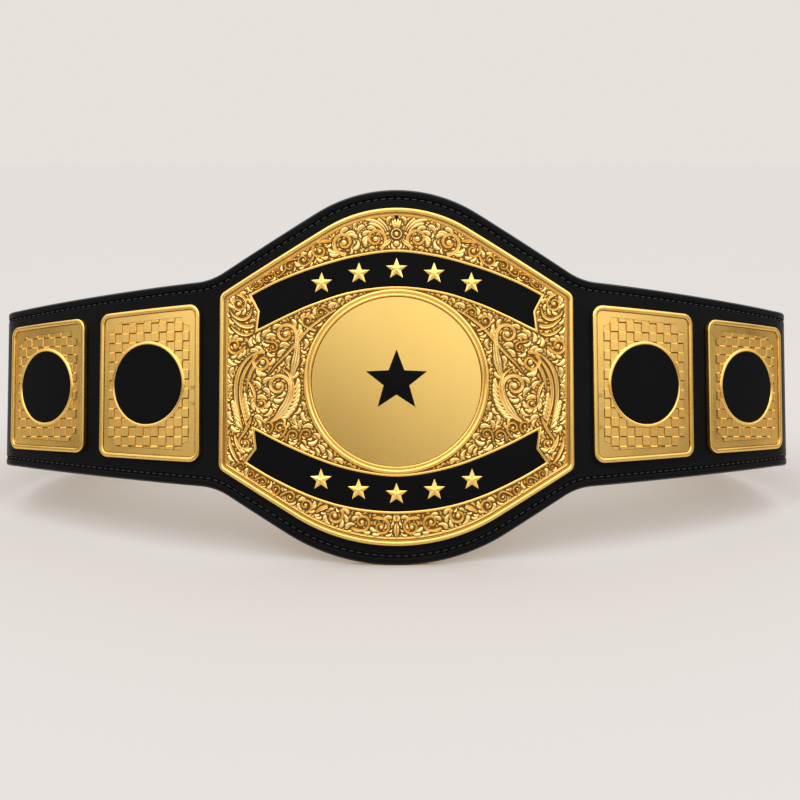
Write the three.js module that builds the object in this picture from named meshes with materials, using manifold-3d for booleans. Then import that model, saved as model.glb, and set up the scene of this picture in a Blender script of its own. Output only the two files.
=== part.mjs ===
// A championship title belt: a stitched leather strap with a tall middle lobe, a cast centre plate
// with scrollwork, two enamel banners and a round medallion, and two smaller plates on each side.
//
// Each piece is drawn flat, as the belt lies unrolled: s runs along the strap from its middle
// (positive to the viewer's right), t runs up it and h runs out of its outer face. The pieces are
// then bent round the waist, and the belt leans back until it stands on the lobe and its two ends.
// Millimetres, +Z up, viewed along +Y. The origin is the middle of the bottom of the whole belt.

import * as THREE from 'three';
import { mergeVertices } from 'three/addons/utils/BufferGeometryUtils.js';
import Module from 'manifold-3d';

const wasm = await Module();
wasm.setup();

// Leather
const STRAP_LENGTH = 1300;
const FACE_LEATHER = 2.8;
const BACK_LEATHER = 2.2;
const SIDE_HALF_HEIGHT = 76; // just outside the lobe
const ARM_HALF_HEIGHT = 63.5; // at the outer end of the outer plates
const END_HALF_HEIGHT = 54;
const END_CORNER = 14;
const LOBE_MARGIN = 14.3; // leather showing round the centre plate
const LOBE_FILLET = 48; // hollow curve where the lobe runs into the arms
const FLOOR_FLAT = 1.1; // how far the leather is pressed flat where it stands
const FIT = 0.3; // gap between pieces that touch
const OVERSHOOT = 1; // how far a cutting form reaches past the face it opens

// Centre plate
const CENTRE_HALF_WIDTH = 130;
const SHOULDER_ANGLE = 31.1; // degrees that the shoulders slope
const CROWN_TOP = 126.8;
const CROWN_BOTTOM = 117.5;
const CROWN_TOP_RADIUS = 100;
const CROWN_BOTTOM_RADIUS = 141;
const CENTRE_CORNER = 7;
const CENTRE_BASE = 3.2; // thickness under the relief
const RIM_WIDTH = 4.6;
const RIM_HEIGHT = 1.9; // above the base
const RIM_CHAMFER = 1;
const FRAME_WIDTH = 2;
const FRAME_HEIGHT = 1.4;
const FRAME_CHAMFER = 0.5;
const RELIEF_HEIGHT = 1.5;
const INLAY_SEAT = 1; // depth of the recess under an inlay
const INLAY_THICKNESS = 1.5;

// Banners: the upper one is the longer along its upper edge. Each row is a point of one half.
const TOP_BANNER = {
  upper: [[0, 94.2], [29.5, 90.6], [55.2, 84], [72.2, 78.4], [89.3, 71.6], [105.5, 63.6]],
  notch: [99.4, 52.2],
  lower: [[100.9, 39.4], [78.4, 50], [59.7, 57.8], [32.1, 66.1], [0, 69.6]],
};
const BOTTOM_BANNER = {
  upper: [[0, -68.2], [25.5, -65.2], [49.9, -58.6], [78.7, -46.8], [102.8, -34.8]],
  notch: [101.2, -48.2],
  lower: [[108.4, -57.8], [88, -69.3], [60.1, -81.8], [32.3, -89.6], [0, -92.6]],
};
const STARS_PER_BANNER = 5;
const STAR_RADIUS = 8;
const STAR_SPACING = 27;
const STAR_WAIST = 0.42; // a star's inner corners, as a share of its radius
const STAR_THICKNESS = 0.8;
const ROSETTE_RADIUS = 8.5; // the flower over the upper banner
const PETAL_HEIGHT = 0.9;
const BOSS_RADIUS = 3;
const BOSS_HEIGHT = 2;
const LEAF_DROP_LENGTH = 15; // the pointed leaf under the lower banner
const LEAF_DROP_WIDTH = 6;

// Medallion
const MEDALLION_T = 0.7; // its middle, above the middle of the strap
const BEZEL_RADIUS = 67;
const DISC_RADIUS = 61.5;
const BEZEL_HEIGHT = 2.2;
// Rows of shares of its width, from outside, and of its height
const BEZEL_TOP = [[0, 0.6], [0.3, 1], [0.6, 0.6], [1, 0.86]];
const DISC_THICKNESS = 1.6;
const EMBLEM_RADIUS = 23;
const EMBLEM_THICKNESS = 0.9;

// Side plates
const PLATE_GAP = 16.2; // leather showing between neighbouring plates
const SIDE_BASE = 2.4;
const SIDE_RIM_WIDTH = 4.4;
const SIDE_RIM_HEIGHT = 1.7;
const SIDE_CORNER = 8;
const PANEL_MARGIN = 4.2; // plain band between the rim and the woven panel
const PANEL_RAISE = 0.6;
const PANEL_SCOOP = 6.5; // radius of the panel's scooped corners
const RING_WIDTH = 2.4;
const RING_HEIGHT = 1.5;
const RING_TOP = [[0, 0.6], [0.5, 1], [1, 0.7]]; // as BEZEL_TOP
const INLAY_CHAMFER = 0.3; // of every round inlay
const INNER = { name: 'inner', width: 87.7, near: 58.3, far: 54.4, disc: 29.9 };
const OUTER = { name: 'outer', width: 84.1, near: 52, far: 49, disc: 28.2 };
INNER.at = CENTRE_HALF_WIDTH + PLATE_GAP + INNER.width / 2;
OUTER.at = INNER.at + INNER.width / 2 + PLATE_GAP + OUTER.width / 2;
const ARM_END = OUTER.at + OUTER.width / 2;

// Fastenings, hidden behind the plates and near the strap's ends
const SCREW_HEAD_RADIUS = 4;
const SCREW_HEAD_HEIGHT = 1.2;
const SCREW_SHANK_RADIUS = 1.6;
const SCREW_REACH = 1.7; // how far a shank stands out of the leather's outer face
const SCREW_SIDE_INSET = 18; // from the centre plate's upright sides
const SCREW_CROWN_S = 58;
const SCREW_PLATE_INSET = 13; // from the upper and lower edges of a side plate
const SNAP_INSET = 22; // first column of snaps, from the strap's end
const SNAP_COLUMN_PITCH = 30;
const SNAP_ROW = 26; // rows above and below the strap's middle line
const SNAP_CAP_RADIUS = 7.5;
const SNAP_CAP_HEIGHT = 1.8;
const SNAP_DOME_SHARE = 0.6; // of the cap's radius, where its dome is flat
const SNAP_POST_RADIUS = 2.2;
const SNAP_BUTTON_RADIUS = 4.6;
const SNAP_BUTTON_HEIGHT = 3.2;
const SNAP_SOCKET_RADIUS = 6.4;
const SNAP_SOCKET_HEIGHT = 2.6;
const SNAP_FLOOR = 1; // of a socket

// How the belt bends: the yaw of its outer face at places along one half, in degrees
const HIP_BEND = 26; // length of the tight bend outside the outer plates
const STIFF_END = 66; // nearly straight stretch that carries the snaps
const BENDS = [
  { at: 0, yaw: 0 },
  { at: CENTRE_HALF_WIDTH, yaw: 12.1 },
  { at: INNER.at, yaw: 23 },
  { at: OUTER.at, yaw: 31.8 },
  { at: ARM_END, yaw: 37 },
  { at: ARM_END + HIP_BEND, yaw: 79 },
  { at: STRAP_LENGTH / 2 - STIFF_END, yaw: 167 },
  { at: STRAP_LENGTH / 2, yaw: 169 },
];

// Fineness of the faceted curves
const BEND_TOLERANCE = 0.6;
const CORNER_TOLERANCE = 0.25;
const SMALLEST_ROUND = 0.2;
const COARSEST_ROUND = 2; // smaller corners are divided as this one is
const SLIVER = 1e-4;
const LOBE_SHARES = [0.13, 0.26, 0.39, 0.53, 0.75, 0.94, 1, 1.06, 1.12]; // of the centre plate's half width
const CORNER_SHARES = [0, 0.5, 0.85, 1]; // of the strap's end corners
const RING_SIDES = 16;
const BEZEL_SIDES = 30;
const SNAP_SIDES = 6;
const SCREW_SIDES = 6;
const LEAN_STEPS = 40;
const ROOT = 0.4; // how far a raised form reaches into what carries it

const FINISHES = {
  gold: { color: 0xd9b25f, roughness: 0.34, metalness: 1 },
  satinGold: { color: 0xe6bd6a, roughness: 0.42, metalness: 1 },
  leather: { color: 0x17171a, roughness: 0.55, metalness: 0 },
  backing: { color: 0x1b1a1a, roughness: 0.75, metalness: 0 },
  enamel: { color: 0x0a0a0c, roughness: 0.25, metalness: 0 },
  nickel: { color: 0xb9b9b6, roughness: 0.35, metalness: 1 },
};

const radians = (degrees) => degrees * Math.PI / 180;

// Levels along h. Zero is the leather's outer face
const PLATE_BACK = FIT;
const CENTRE_FACE = PLATE_BACK + CENTRE_BASE;
const SIDE_FACE = PLATE_BACK + SIDE_BASE;
const BACKING_FACE = -FACE_LEATHER - FIT;
const BACKING_BACK = BACKING_FACE - BACK_LEATHER;
const INLAY_TOP = CENTRE_FACE - INLAY_SEAT + FIT + INLAY_THICKNESS;
const EMBLEM_FOOT = INLAY_TOP - INLAY_THICKNESS + DISC_THICKNESS + FIT;

// Solids and meshes

function solidOf(geometry) {
  const bare = geometry.index ? geometry.toNonIndexed() : geometry.clone();
  bare.deleteAttribute('normal');
  bare.deleteAttribute('uv');
  const merged = mergeVertices(bare, 1e-4);
  return new wasm.Manifold(new wasm.Mesh({
    numProp: 3,
    vertProperties: new Float32Array(merged.attributes.position.array),
    triVerts: new Uint32Array(merged.index.array),
  }));
}

function fuse(solids) {
  return solids.reduce((whole, solid) => whole.add(solid));
}

function cut(body, tools) {
  return tools.reduce((left, tool) => left.subtract(tool), body);
}

// A flat shape drawn in (s, t), from one level of h to another
function slab(shape, from, to) {
  const geometry = new THREE.ExtrudeGeometry(shape, { depth: to - from, bevelEnabled: false });
  return solidOf(geometry.translate(0, 0, from));
}

function geometryOf(triangles) {
  const geometry = new THREE.BufferGeometry();
  geometry.setAttribute('position', new THREE.Float32BufferAttribute(triangles.flat(2), 3));
  return geometry;
}

// Triangles between rings of equally many points, which turn counterclockwise seen from the last
function walls(rings) {
  const triangles = [];
  for (let k = 0; k + 1 < rings.length; k += 1) {
    const [low, high] = [rings[k], rings[k + 1]];
    for (let i = 0; i < low.length; i += 1) {
      const j = (i + 1) % low.length;
      triangles.push([low[i], low[j], high[j]], [low[i], high[j], high[i]]);
    }
  }
  return triangles;
}

// Triangles that close a convex ring
function fan(ring) {
  return ring.slice(2).map((point, i) => [ring[0], ring[i + 1], point]);
}

// A closed form through convex rings
function tube(rings) {
  const ends = [...fan([...rings[0]].reverse()), ...fan(rings.at(-1))];
  return solidOf(geometryOf([...walls(rings), ...ends]));
}

// A closed form through level rings of any outline
function loft(rings) {
  const lid = (ring, upward) => {
    const flat = ring.map(([s, t]) => new THREE.Vector2(s, t));
    return THREE.ShapeUtils.triangulateShape(flat, []).map(([a, b, c]) => {
      const turn = (flat[b].x - flat[a].x) * (flat[c].y - flat[a].y)
        - (flat[b].y - flat[a].y) * (flat[c].x - flat[a].x);
      return (turn > 0) === upward ? [ring[a], ring[b], ring[c]] : [ring[a], ring[c], ring[b]];
    });
  };
  return solidOf(geometryOf([...walls(rings), ...lid(rings[0], false), ...lid(rings.at(-1), true)]));
}

// A turned form whose profile of [radius, h] pairs closes on itself or on the axis
function turned(profile, sides, s, t) {
  const points = profile.map(([radius, h]) => new THREE.Vector2(radius, h));
  const geometry = new THREE.LatheGeometry(points, sides);
  geometry.rotateX(Math.PI / 2);
  return solidOf(geometry.translate(s, t, 0));
}

function post(radius, from, to, sides, s, t) {
  return turned([[0, from], [radius, from], [radius, to], [0, to]], sides, s, t);
}

// A raised ring on a face, its top given as rows of shares
function raisedRing({ inner, outer, face, height, top }, sides, s, t) {
  const foot = face - ROOT;
  const crest = top.map(([across, up]) => [outer - (outer - inner) * across, face + height * up]);
  return turned([[inner, foot], [outer, foot], ...crest, [inner, foot]], sides, s, t);
}

// Outlines

// A closed outline through corners given counterclockwise as [s, t, radius]. Its sides move
// outwards by grow, and a corner's round grows or shrinks with them
function roundedShape(corners, grow = 0) {
  const count = corners.length;
  const sides = corners.map(([s, t], i) => {
    const [nextS, nextT] = corners[(i + 1) % count];
    const length = Math.hypot(nextS - s, nextT - t);
    const along = [(nextS - s) / length, (nextT - t) / length];
    return { along, at: [s + along[1] * grow, t - along[0] * grow] };
  });
  const points = [];
  corners.forEach(([, , radius], i) => {
    const before = sides[(i + count - 1) % count];
    const after = sides[i];
    const turn = before.along[0] * after.along[1] - before.along[1] * after.along[0];
    const gap = [after.at[0] - before.at[0], after.at[1] - before.at[1]];
    const reach = (gap[0] * after.along[1] - gap[1] * after.along[0]) / turn;
    const corner = [before.at[0] + before.along[0] * reach, before.at[1] + before.along[1] * reach];
    const angle = Math.asin(turn);
    const round = radius > 0 ? Math.max(radius + Math.sign(angle) * grow, SMALLEST_ROUND) : 0;
    if (round === 0) {
      points.push(new THREE.Vector2(...corner));
      return;
    }
    const back = round * Math.tan(Math.abs(angle) / 2);
    const start = [corner[0] - before.along[0] * back, corner[1] - before.along[1] * back];
    const inward = Math.sign(angle);
    const centre = [start[0] - before.along[1] * round * inward, start[1] + before.along[0] * round * inward];
    const facet = 2 * Math.acos(1 - CORNER_TOLERANCE / Math.max(radius, COARSEST_ROUND));
    const steps = Math.max(2, Math.round(Math.abs(angle) / facet));
    for (let k = 0; k <= steps; k += 1) {
      const a = angle * k / steps;
      const ds = start[0] - centre[0];
      const dt = start[1] - centre[1];
      points.push(new THREE.Vector2(
        centre[0] + ds * Math.cos(a) - dt * Math.sin(a),
        centre[1] + ds * Math.sin(a) + dt * Math.cos(a),
      ));
    }
  });
  return new THREE.Shape(points);
}

const SHOULDER_RISE = CENTRE_HALF_WIDTH * Math.tan(radians(SHOULDER_ANGLE));

// Height of a rounded peak's sloping sides where they would meet, from the top of its round
const peakOf = (crown, radius) => crown + radius * (1 / Math.cos(radians(SHOULDER_ANGLE)) - 1);

function centreShape(grow = 0) {
  const top = peakOf(CROWN_TOP, CROWN_TOP_RADIUS);
  const bottom = peakOf(CROWN_BOTTOM, CROWN_BOTTOM_RADIUS);
  const w = CENTRE_HALF_WIDTH;
  return roundedShape([
    [0, top, CROWN_TOP_RADIUS],
    [-w, top - SHOULDER_RISE, CENTRE_CORNER],
    [-w, SHOULDER_RISE - bottom, CENTRE_CORNER],
    [0, -bottom, CROWN_BOTTOM_RADIUS],
    [w, SHOULDER_RISE - bottom, CENTRE_CORNER],
    [w, top - SHOULDER_RISE, CENTRE_CORNER],
  ], grow);
}

function bannerShape({ upper, notch, lower }, grow = 0) {
  const mirrored = (rows) => rows.map(([s, t]) => [-s, t]);
  const half = [...[...lower].reverse(), notch, ...[...upper].reverse()];
  const other = mirrored([...upper.slice(1), notch, ...lower.slice(0, -1)]);
  return roundedShape([...half, ...other].map(([s, t]) => [s, t, 0]), grow);
}

function sideShape({ at, width, near, far }, side, grow = 0) {
  const corners = [
    [at - width / 2, -near],
    [at + width / 2, -far],
    [at + width / 2, far],
    [at - width / 2, near],
  ].map(([s, t]) => [side * s, t, SIDE_CORNER]);
  return roundedShape(side > 0 ? corners : corners.reverse(), grow);
}

// The woven panel: the plate's outline moved in, with its corners scooped out
function panelShape(plate, side) {
  const inset = SIDE_RIM_WIDTH + PANEL_MARGIN;
  const slope = (plate.near - plate.far) / plate.width;
  const reach = plate.width / 2 - inset;
  const high = (plate.near + plate.far) / 2 - inset;
  const corner = (du, dt) => [plate.at + du * reach, dt * (high - du * slope * reach)];
  const points = [];
  const ends = [[-1, -1], [1, -1], [1, 1], [-1, 1]];
  ends.forEach(([du, dt], k) => {
    const [s, t] = corner(du, dt);
    const from = k * 90 + 90;
    for (const turn of [0, -30, -60, -90]) {
      const a = radians(from + turn);
      points.push(new THREE.Vector2(side * (s + PANEL_SCOOP * Math.cos(a)), t + PANEL_SCOOP * Math.sin(a)));
    }
  });
  return new THREE.Shape(side > 0 ? points : points.reverse());
}

function starShape(radius, s, t) {
  const points = [];
  for (let k = 0; k < 10; k += 1) {
    const a = radians(90 + k * 36);
    const reach = k % 2 === 0 ? radius : radius * STAR_WAIST;
    points.push(new THREE.Vector2(s + reach * Math.cos(a), t + reach * Math.sin(a)));
  }
  return new THREE.Shape(points);
}

// Height of a line through rows of [s, t] at a place along it
function lineHeight(rows, s) {
  const row = Math.max(1, rows.findIndex(([at]) => at >= Math.abs(s)));
  const [s0, t0] = rows[row - 1];
  const [s1, t1] = rows[row];
  return t0 + (t1 - t0) * (Math.abs(s) - s0) / (s1 - s0);
}

function bannerMiddle({ upper, lower }, s) {
  return (lineHeight(upper, s) + lineHeight([...lower].reverse(), s)) / 2;
}

function starPlaces(banner) {
  const places = [];
  for (let k = 0; k < STARS_PER_BANNER; k += 1) {
    const s = (k - (STARS_PER_BANNER - 1) / 2) * STAR_SPACING;
    places.push([s, bannerMiddle(banner, s)]);
  }
  return places;
}

// Scrollwork of one half of the centre plate. A volute is a spiral rib: its middle, its outer
// radius, the direction from its middle to where it starts, its turns (negative is clockwise),
// and the length and bend of the stem that leads into it
const VOLUTES = [
  { s: 15, t: 104, radius: 7.6, from: 200, turns: -1.1, stem: 12, bend: 60, width: 3 },
  { s: 36, t: 101.5, radius: 8.4, from: 300, turns: 1.2, stem: 16, bend: -70, width: 3.6 },
  { s: 54.5, t: 95.8, radius: 6.2, from: 60, turns: -1.1, stem: 12, bend: 40, width: 3 },
  { s: 10.5, t: -104, radius: 6.2, from: 120, turns: 1.1, stem: 8, bend: -40, width: 2.8 },
  { s: 44, t: -95.5, radius: 6.2, from: 100, turns: 1, stem: 15, bend: -50, width: 3.4 },
  { s: 115.4, t: 57.5, radius: 6.4, from: 160, turns: 1.2, stem: 8, bend: -60, width: 3 },
  { s: 116, t: 41, radius: 7, from: 20, turns: -0.7, stem: 4, bend: 30, width: 3.4 },
  { s: 117.6, t: 25.5, radius: 6.2, from: 250, turns: 1.2, stem: 6, bend: -30, width: 2.8 },
  { s: 97.4, t: 14.6, radius: 8, from: 60, turns: -1.2, stem: 5, bend: 40, width: 3 },
  { s: 80.4, t: 34.6, radius: 7.8, from: 170, turns: -1.2, stem: 34, bend: 34, width: 3.6 },
  { s: 86, t: -1.8, radius: 9, from: 175, turns: -1.3, stem: 30, bend: 62, width: 4 },
  { s: 100, t: -12.5, radius: 7.4, from: 10, turns: -0.8, stem: 20, bend: -50, width: 3.8 },
  { s: 112, t: -20, radius: 7, from: 30, turns: -0.5, stem: 44, bend: -70, width: 4.2 },
  { s: 117, t: -43, radius: 6.4, from: 40, turns: -0.9, stem: 18, bend: -20, width: 3.2 },
];
const STEPS_PER_TURN = 4.6;
const STEM_STEPS = 2;
const EYE_SHARE = 0.3; // of its outer radius, where a spiral ends
const RIB_END_WIDTH = 0.45; // shares of a rib's width and height at its thin ends
const RIB_END_HEIGHT = 0.6;
const RIB_START = 0.15; // share of its swelling that a rib starts with

function volutePath({ s, t, radius, from, turns, stem, bend }) {
  const points = [];
  const steps = Math.ceil(Math.abs(turns) * STEPS_PER_TURN);
  for (let k = steps; k >= 0; k -= 1) {
    const u = k / steps;
    const a = radians(from) + u * turns * 2 * Math.PI;
    const reach = radius * (1 - (1 - EYE_SHARE) * u);
    points.push([s + reach * Math.cos(a), t + reach * Math.sin(a)]);
  }
  let [ps, pt] = points[points.length - 1];
  let heading = radians(from - Math.sign(turns) * 90);
  for (let k = 0; k < STEM_STEPS; k += 1) {
    heading += radians(bend) / STEM_STEPS;
    ps += Math.cos(heading) * stem / STEM_STEPS;
    pt += Math.sin(heading) * stem / STEM_STEPS;
    points.push([ps, pt]);
  }
  return points;
}

// A rib with a ridged back along a path in (s, t), thin at both ends
function rib(path, width, from, height) {
  return tube(path.map(([s, t], i) => {
    const [s0, t0] = path[Math.max(i - 1, 0)];
    const [s1, t1] = path[Math.min(i + 1, path.length - 1)];
    const length = Math.hypot(s1 - s0, t1 - t0);
    const across = [-(t1 - t0) / length, (s1 - s0) / length];
    const round = Math.sin(Math.PI * Math.min(1, RIB_START + i / path.length));
    const swell = RIB_END_WIDTH + (1 - RIB_END_WIDTH) * round;
    const rise = RIB_END_HEIGHT + (1 - RIB_END_HEIGHT) * swell;
    const half = width * swell / 2;
    return [
      [s + across[0] * half, t + across[1] * half, from],
      [s, t, from + (height - from) * rise],
      [s - across[0] * half, t - across[1] * half, from],
    ];
  }));
}

function scrollwork() {
  const mirrored = (path) => path.map(([s, t]) => [-s, t]);
  return VOLUTES.flatMap((volute) => {
    const path = volutePath(volute);
    return [path, mirrored(path)].map((line) => (
      rib(line, volute.width, CENTRE_FACE - ROOT, CENTRE_FACE + RELIEF_HEIGHT)
    ));
  });
}

// The bend round the waist

// Where the strap's outer face is in plan at s, and its yaw
function planAt(s) {
  const reach = Math.abs(s);
  let x = 0;
  let y = 0;
  let yaw = 0;
  for (let k = 0; k + 1 < BENDS.length; k += 1) {
    const length = BENDS[k + 1].at - BENDS[k].at;
    const start = radians(BENDS[k].yaw);
    const turn = radians(BENDS[k + 1].yaw) - start;
    const last = k + 2 === BENDS.length;
    const run = last ? reach - BENDS[k].at : Math.min(reach - BENDS[k].at, length);
    if (run <= 0) {
      break;
    }
    const curve = turn / length;
    yaw = start + curve * run;
    x += (Math.sin(yaw) - Math.sin(start)) / curve;
    y += (Math.cos(start) - Math.cos(yaw)) / curve;
  }
  const side = s < 0 ? -1 : 1;
  return { x: side * x, y, yaw: side * yaw };
}

// Places along one half where the bent belt has a fold between two flat facets
function foldPlaces() {
  const places = [0];
  for (let k = 0; k + 1 < BENDS.length; k += 1) {
    const length = BENDS[k + 1].at - BENDS[k].at;
    const radius = length / radians(BENDS[k + 1].yaw - BENDS[k].yaw);
    const steps = Math.ceil(length / Math.sqrt(8 * BEND_TOLERANCE * radius));
    for (let i = 1; i <= steps; i += 1) {
      places.push(BENDS[k].at + length * i / steps);
    }
  }
  return [...places.slice(1).reverse().map((s) => -s), ...places];
}

const FOLDS = foldPlaces().map((s) => ({ s, ...planAt(s) }));

function place([s, t, h]) {
  const next = Math.min(FOLDS.length - 1, Math.max(1, FOLDS.findIndex((fold) => fold.s >= s)));
  const [a, b] = [FOLDS[next - 1], FOLDS[next]];
  const share = (s - a.s) / (b.s - a.s);
  const at = ({ x, y, yaw }) => [x + h * Math.sin(yaw), y - h * Math.cos(yaw)];
  const [[ax, ay], [bx, by]] = [at(a), at(b)];
  return [ax + (bx - ax) * share, ay + (by - ay) * share, t];
}

// Cuts each triangle along the folds, with the new points shared between neighbours
function foldable(points, triangles) {
  const crossings = new Map();
  const crossingsOf = (a, b) => {
    const [low, high] = points[a][0] < points[b][0] ? [a, b] : [b, a];
    const key = `${low},${high}`;
    if (!crossings.has(key)) {
      const [p, q] = [points[low], points[high]];
      const between = FOLDS.filter((fold) => fold.s > p[0] + SLIVER && fold.s < q[0] - SLIVER);
      crossings.set(key, between.map((fold) => {
        const share = (fold.s - p[0]) / (q[0] - p[0]);
        points.push([fold.s, p[1] + (q[1] - p[1]) * share, p[2] + (q[2] - p[2]) * share]);
        return points.length - 1;
      }));
    }
    const found = crossings.get(key);
    return low === a ? found : [...found].reverse();
  };
  const pieces = [];
  for (const [a, b, c] of triangles) {
    const loop = [a, ...crossingsOf(a, b), b, ...crossingsOf(b, c), c, ...crossingsOf(c, a)];
    if (loop.length === 3) {
      pieces.push(loop);
      continue;
    }
    for (let k = 0; k + 1 < FOLDS.length; k += 1) {
      const strip = loop.filter((i) => (
        points[i][0] >= FOLDS[k].s - SLIVER && points[i][0] <= FOLDS[k + 1].s + SLIVER
      ));
      const along = strip.map((i) => points[i][0]);
      if (Math.max(...along) - Math.min(...along) > SLIVER) {
        pieces.push(...fan(strip));
      }
    }
  }
  return pieces;
}

function bent(solid) {
  const mesh = solid.getMesh();
  const points = [];
  for (let k = 0; k < mesh.vertProperties.length; k += mesh.numProp) {
    points.push([...mesh.vertProperties.slice(k, k + 3)]);
  }
  const flat = [];
  for (let k = 0; k < mesh.triVerts.length; k += 3) {
    flat.push([...mesh.triVerts.slice(k, k + 3)]);
  }
  const triangles = foldable(points, flat);
  const geometry = new THREE.BufferGeometry();
  geometry.setAttribute('position', new THREE.Float32BufferAttribute(points.flatMap(place), 3));
  geometry.setIndex(triangles.flat());
  return geometry;
}

// Leather

// Height of a rounded peak's edge at a distance from its middle
function peakHeight(reach, crown, radius) {
  const angle = radians(SHOULDER_ANGLE);
  if (reach < radius * Math.sin(angle)) {
    return crown - radius + Math.sqrt(radius * radius - reach * reach);
  }
  return peakOf(crown, radius) - Math.tan(angle) * reach;
}

// Height of the leather's edge at s: the lobe's rounded peak, then the tapering arm
function edgeHeight(s, crown, crownRadius) {
  const reach = Math.abs(s);
  const lobe = [crown + LOBE_MARGIN, crownRadius + LOBE_MARGIN];
  const slope = Math.tan(radians(SHOULDER_ANGLE));
  const armStart = CENTRE_HALF_WIDTH + PLATE_GAP;
  const armSlope = (SIDE_HALF_HEIGHT - ARM_HALF_HEIGHT) / (ARM_END - armStart);
  const armAngle = Math.atan(armSlope);
  const armAt = (at) => SIDE_HALF_HEIGHT - armSlope * (at - armStart);
  const meet = (peakOf(...lobe) - armAt(0)) / (slope - armSlope);
  const back = LOBE_FILLET * Math.tan((radians(SHOULDER_ANGLE) - armAngle) / 2);
  const filletEnd = meet + back * Math.cos(armAngle);
  if (reach < meet - back * Math.cos(radians(SHOULDER_ANGLE))) {
    return peakHeight(reach, ...lobe);
  }
  if (reach < filletEnd) {
    const middle = filletEnd + LOBE_FILLET * Math.sin(armAngle);
    const top = armAt(filletEnd) + LOBE_FILLET * Math.cos(armAngle);
    return top - Math.sqrt(LOBE_FILLET ** 2 - (middle - reach) ** 2);
  }
  if (reach < ARM_END) {
    return armAt(reach);
  }
  const end = STRAP_LENGTH / 2;
  const taper = (reach - ARM_END) / (end - ARM_END);
  const straight = ARM_HALF_HEIGHT + (END_HALF_HEIGHT - ARM_HALF_HEIGHT) * taper;
  const intoCorner = Math.max(0, reach - (end - END_CORNER));
  return straight - END_CORNER + Math.sqrt(Math.max(0, END_CORNER ** 2 - intoCorner ** 2));
}

// Places along the strap where the leather has a section: its folds, and where its outline curves
function strapStations() {
  const end = STRAP_LENGTH / 2;
  const lobe = [0, ...LOBE_SHARES.map((share) => share * CENTRE_HALF_WIDTH)];
  const arm = FOLDS.map(({ s }) => s).filter((s) => s > lobe.at(-1) && s < end - END_CORNER);
  const corner = CORNER_SHARES.map((share) => end - END_CORNER + END_CORNER * share);
  const half = [...lobe, ...arm, ...corner];
  return [...half.slice(1).reverse().map((s) => -s), ...half];
}

// A layer of leather from its sections
function leather(back, front) {
  return tube(strapStations().map((s) => {
    const top = edgeHeight(s, CROWN_TOP, CROWN_TOP_RADIUS);
    const bottom = -edgeHeight(s, CROWN_BOTTOM, CROWN_BOTTOM_RADIUS);
    return [[s, bottom, back], [s, top, back], [s, top, front], [s, bottom, front]];
  }));
}

// Fastenings

// The centre plate's screws on one half: beside the medallion, and over and under the banners
function centreScrews() {
  const upper = lineHeight(TOP_BANNER.upper, SCREW_CROWN_S) + FRAME_WIDTH;
  const lower = lineHeight([...BOTTOM_BANNER.lower].reverse(), SCREW_CROWN_S) - FRAME_WIDTH;
  const top = peakHeight(SCREW_CROWN_S, CROWN_TOP, CROWN_TOP_RADIUS) - RIM_WIDTH;
  const bottom = RIM_WIDTH - peakHeight(SCREW_CROWN_S, CROWN_BOTTOM, CROWN_BOTTOM_RADIUS);
  return [
    { name: 'middle', s: CENTRE_HALF_WIDTH - SCREW_SIDE_INSET, t: 0 },
    { name: 'upper', s: SCREW_CROWN_S, t: (upper + top) / 2 },
    { name: 'lower', s: SCREW_CROWN_S, t: (lower + bottom) / 2 },
  ];
}

function plateScrews(plate) {
  const t = (plate.near + plate.far) / 2 - SCREW_PLATE_INSET;
  return [{ name: 'upper', s: plate.at, t }, { name: 'lower', s: plate.at, t: -t }];
}

function screwHole({ s, t }) {
  return post(SCREW_SHANK_RADIUS + FIT, BACKING_BACK - OVERSHOOT, SCREW_REACH + FIT, SCREW_SIDES, s, t);
}

function screw({ s, t }) {
  const seat = BACKING_BACK - FIT;
  const under = seat - SCREW_HEAD_HEIGHT;
  return turned([
    [0, under], [SCREW_HEAD_RADIUS, under], [SCREW_HEAD_RADIUS, seat],
    [SCREW_SHANK_RADIUS, seat], [SCREW_SHANK_RADIUS, SCREW_REACH], [0, SCREW_REACH],
  ], SCREW_SIDES, s, t);
}

function snapPlaces(side, columns) {
  const places = [];
  for (let column = 0; column < columns; column += 1) {
    for (const row of [1, -1]) {
      const s = side * (STRAP_LENGTH / 2 - SNAP_INSET - column * SNAP_COLUMN_PITCH);
      places.push({ s, t: row * SNAP_ROW });
    }
  }
  return places;
}

function snapHole({ s, t }) {
  return post(SNAP_POST_RADIUS + FIT, BACKING_BACK - OVERSHOOT, OVERSHOOT, SNAP_SIDES, s, t);
}

// A stud has its cap on the outer face and its button behind
function snapStud({ s, t }) {
  const seat = BACKING_BACK - FIT;
  return turned([
    [0, seat - SNAP_BUTTON_HEIGHT], [SNAP_BUTTON_RADIUS, seat - SNAP_BUTTON_HEIGHT],
    [SNAP_BUTTON_RADIUS, seat], [SNAP_POST_RADIUS, seat], [SNAP_POST_RADIUS, FIT],
    [SNAP_CAP_RADIUS, FIT], [SNAP_CAP_RADIUS * SNAP_DOME_SHARE, FIT + SNAP_CAP_HEIGHT],
    [0, FIT + SNAP_CAP_HEIGHT],
  ], SNAP_SIDES, s, t);
}

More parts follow.
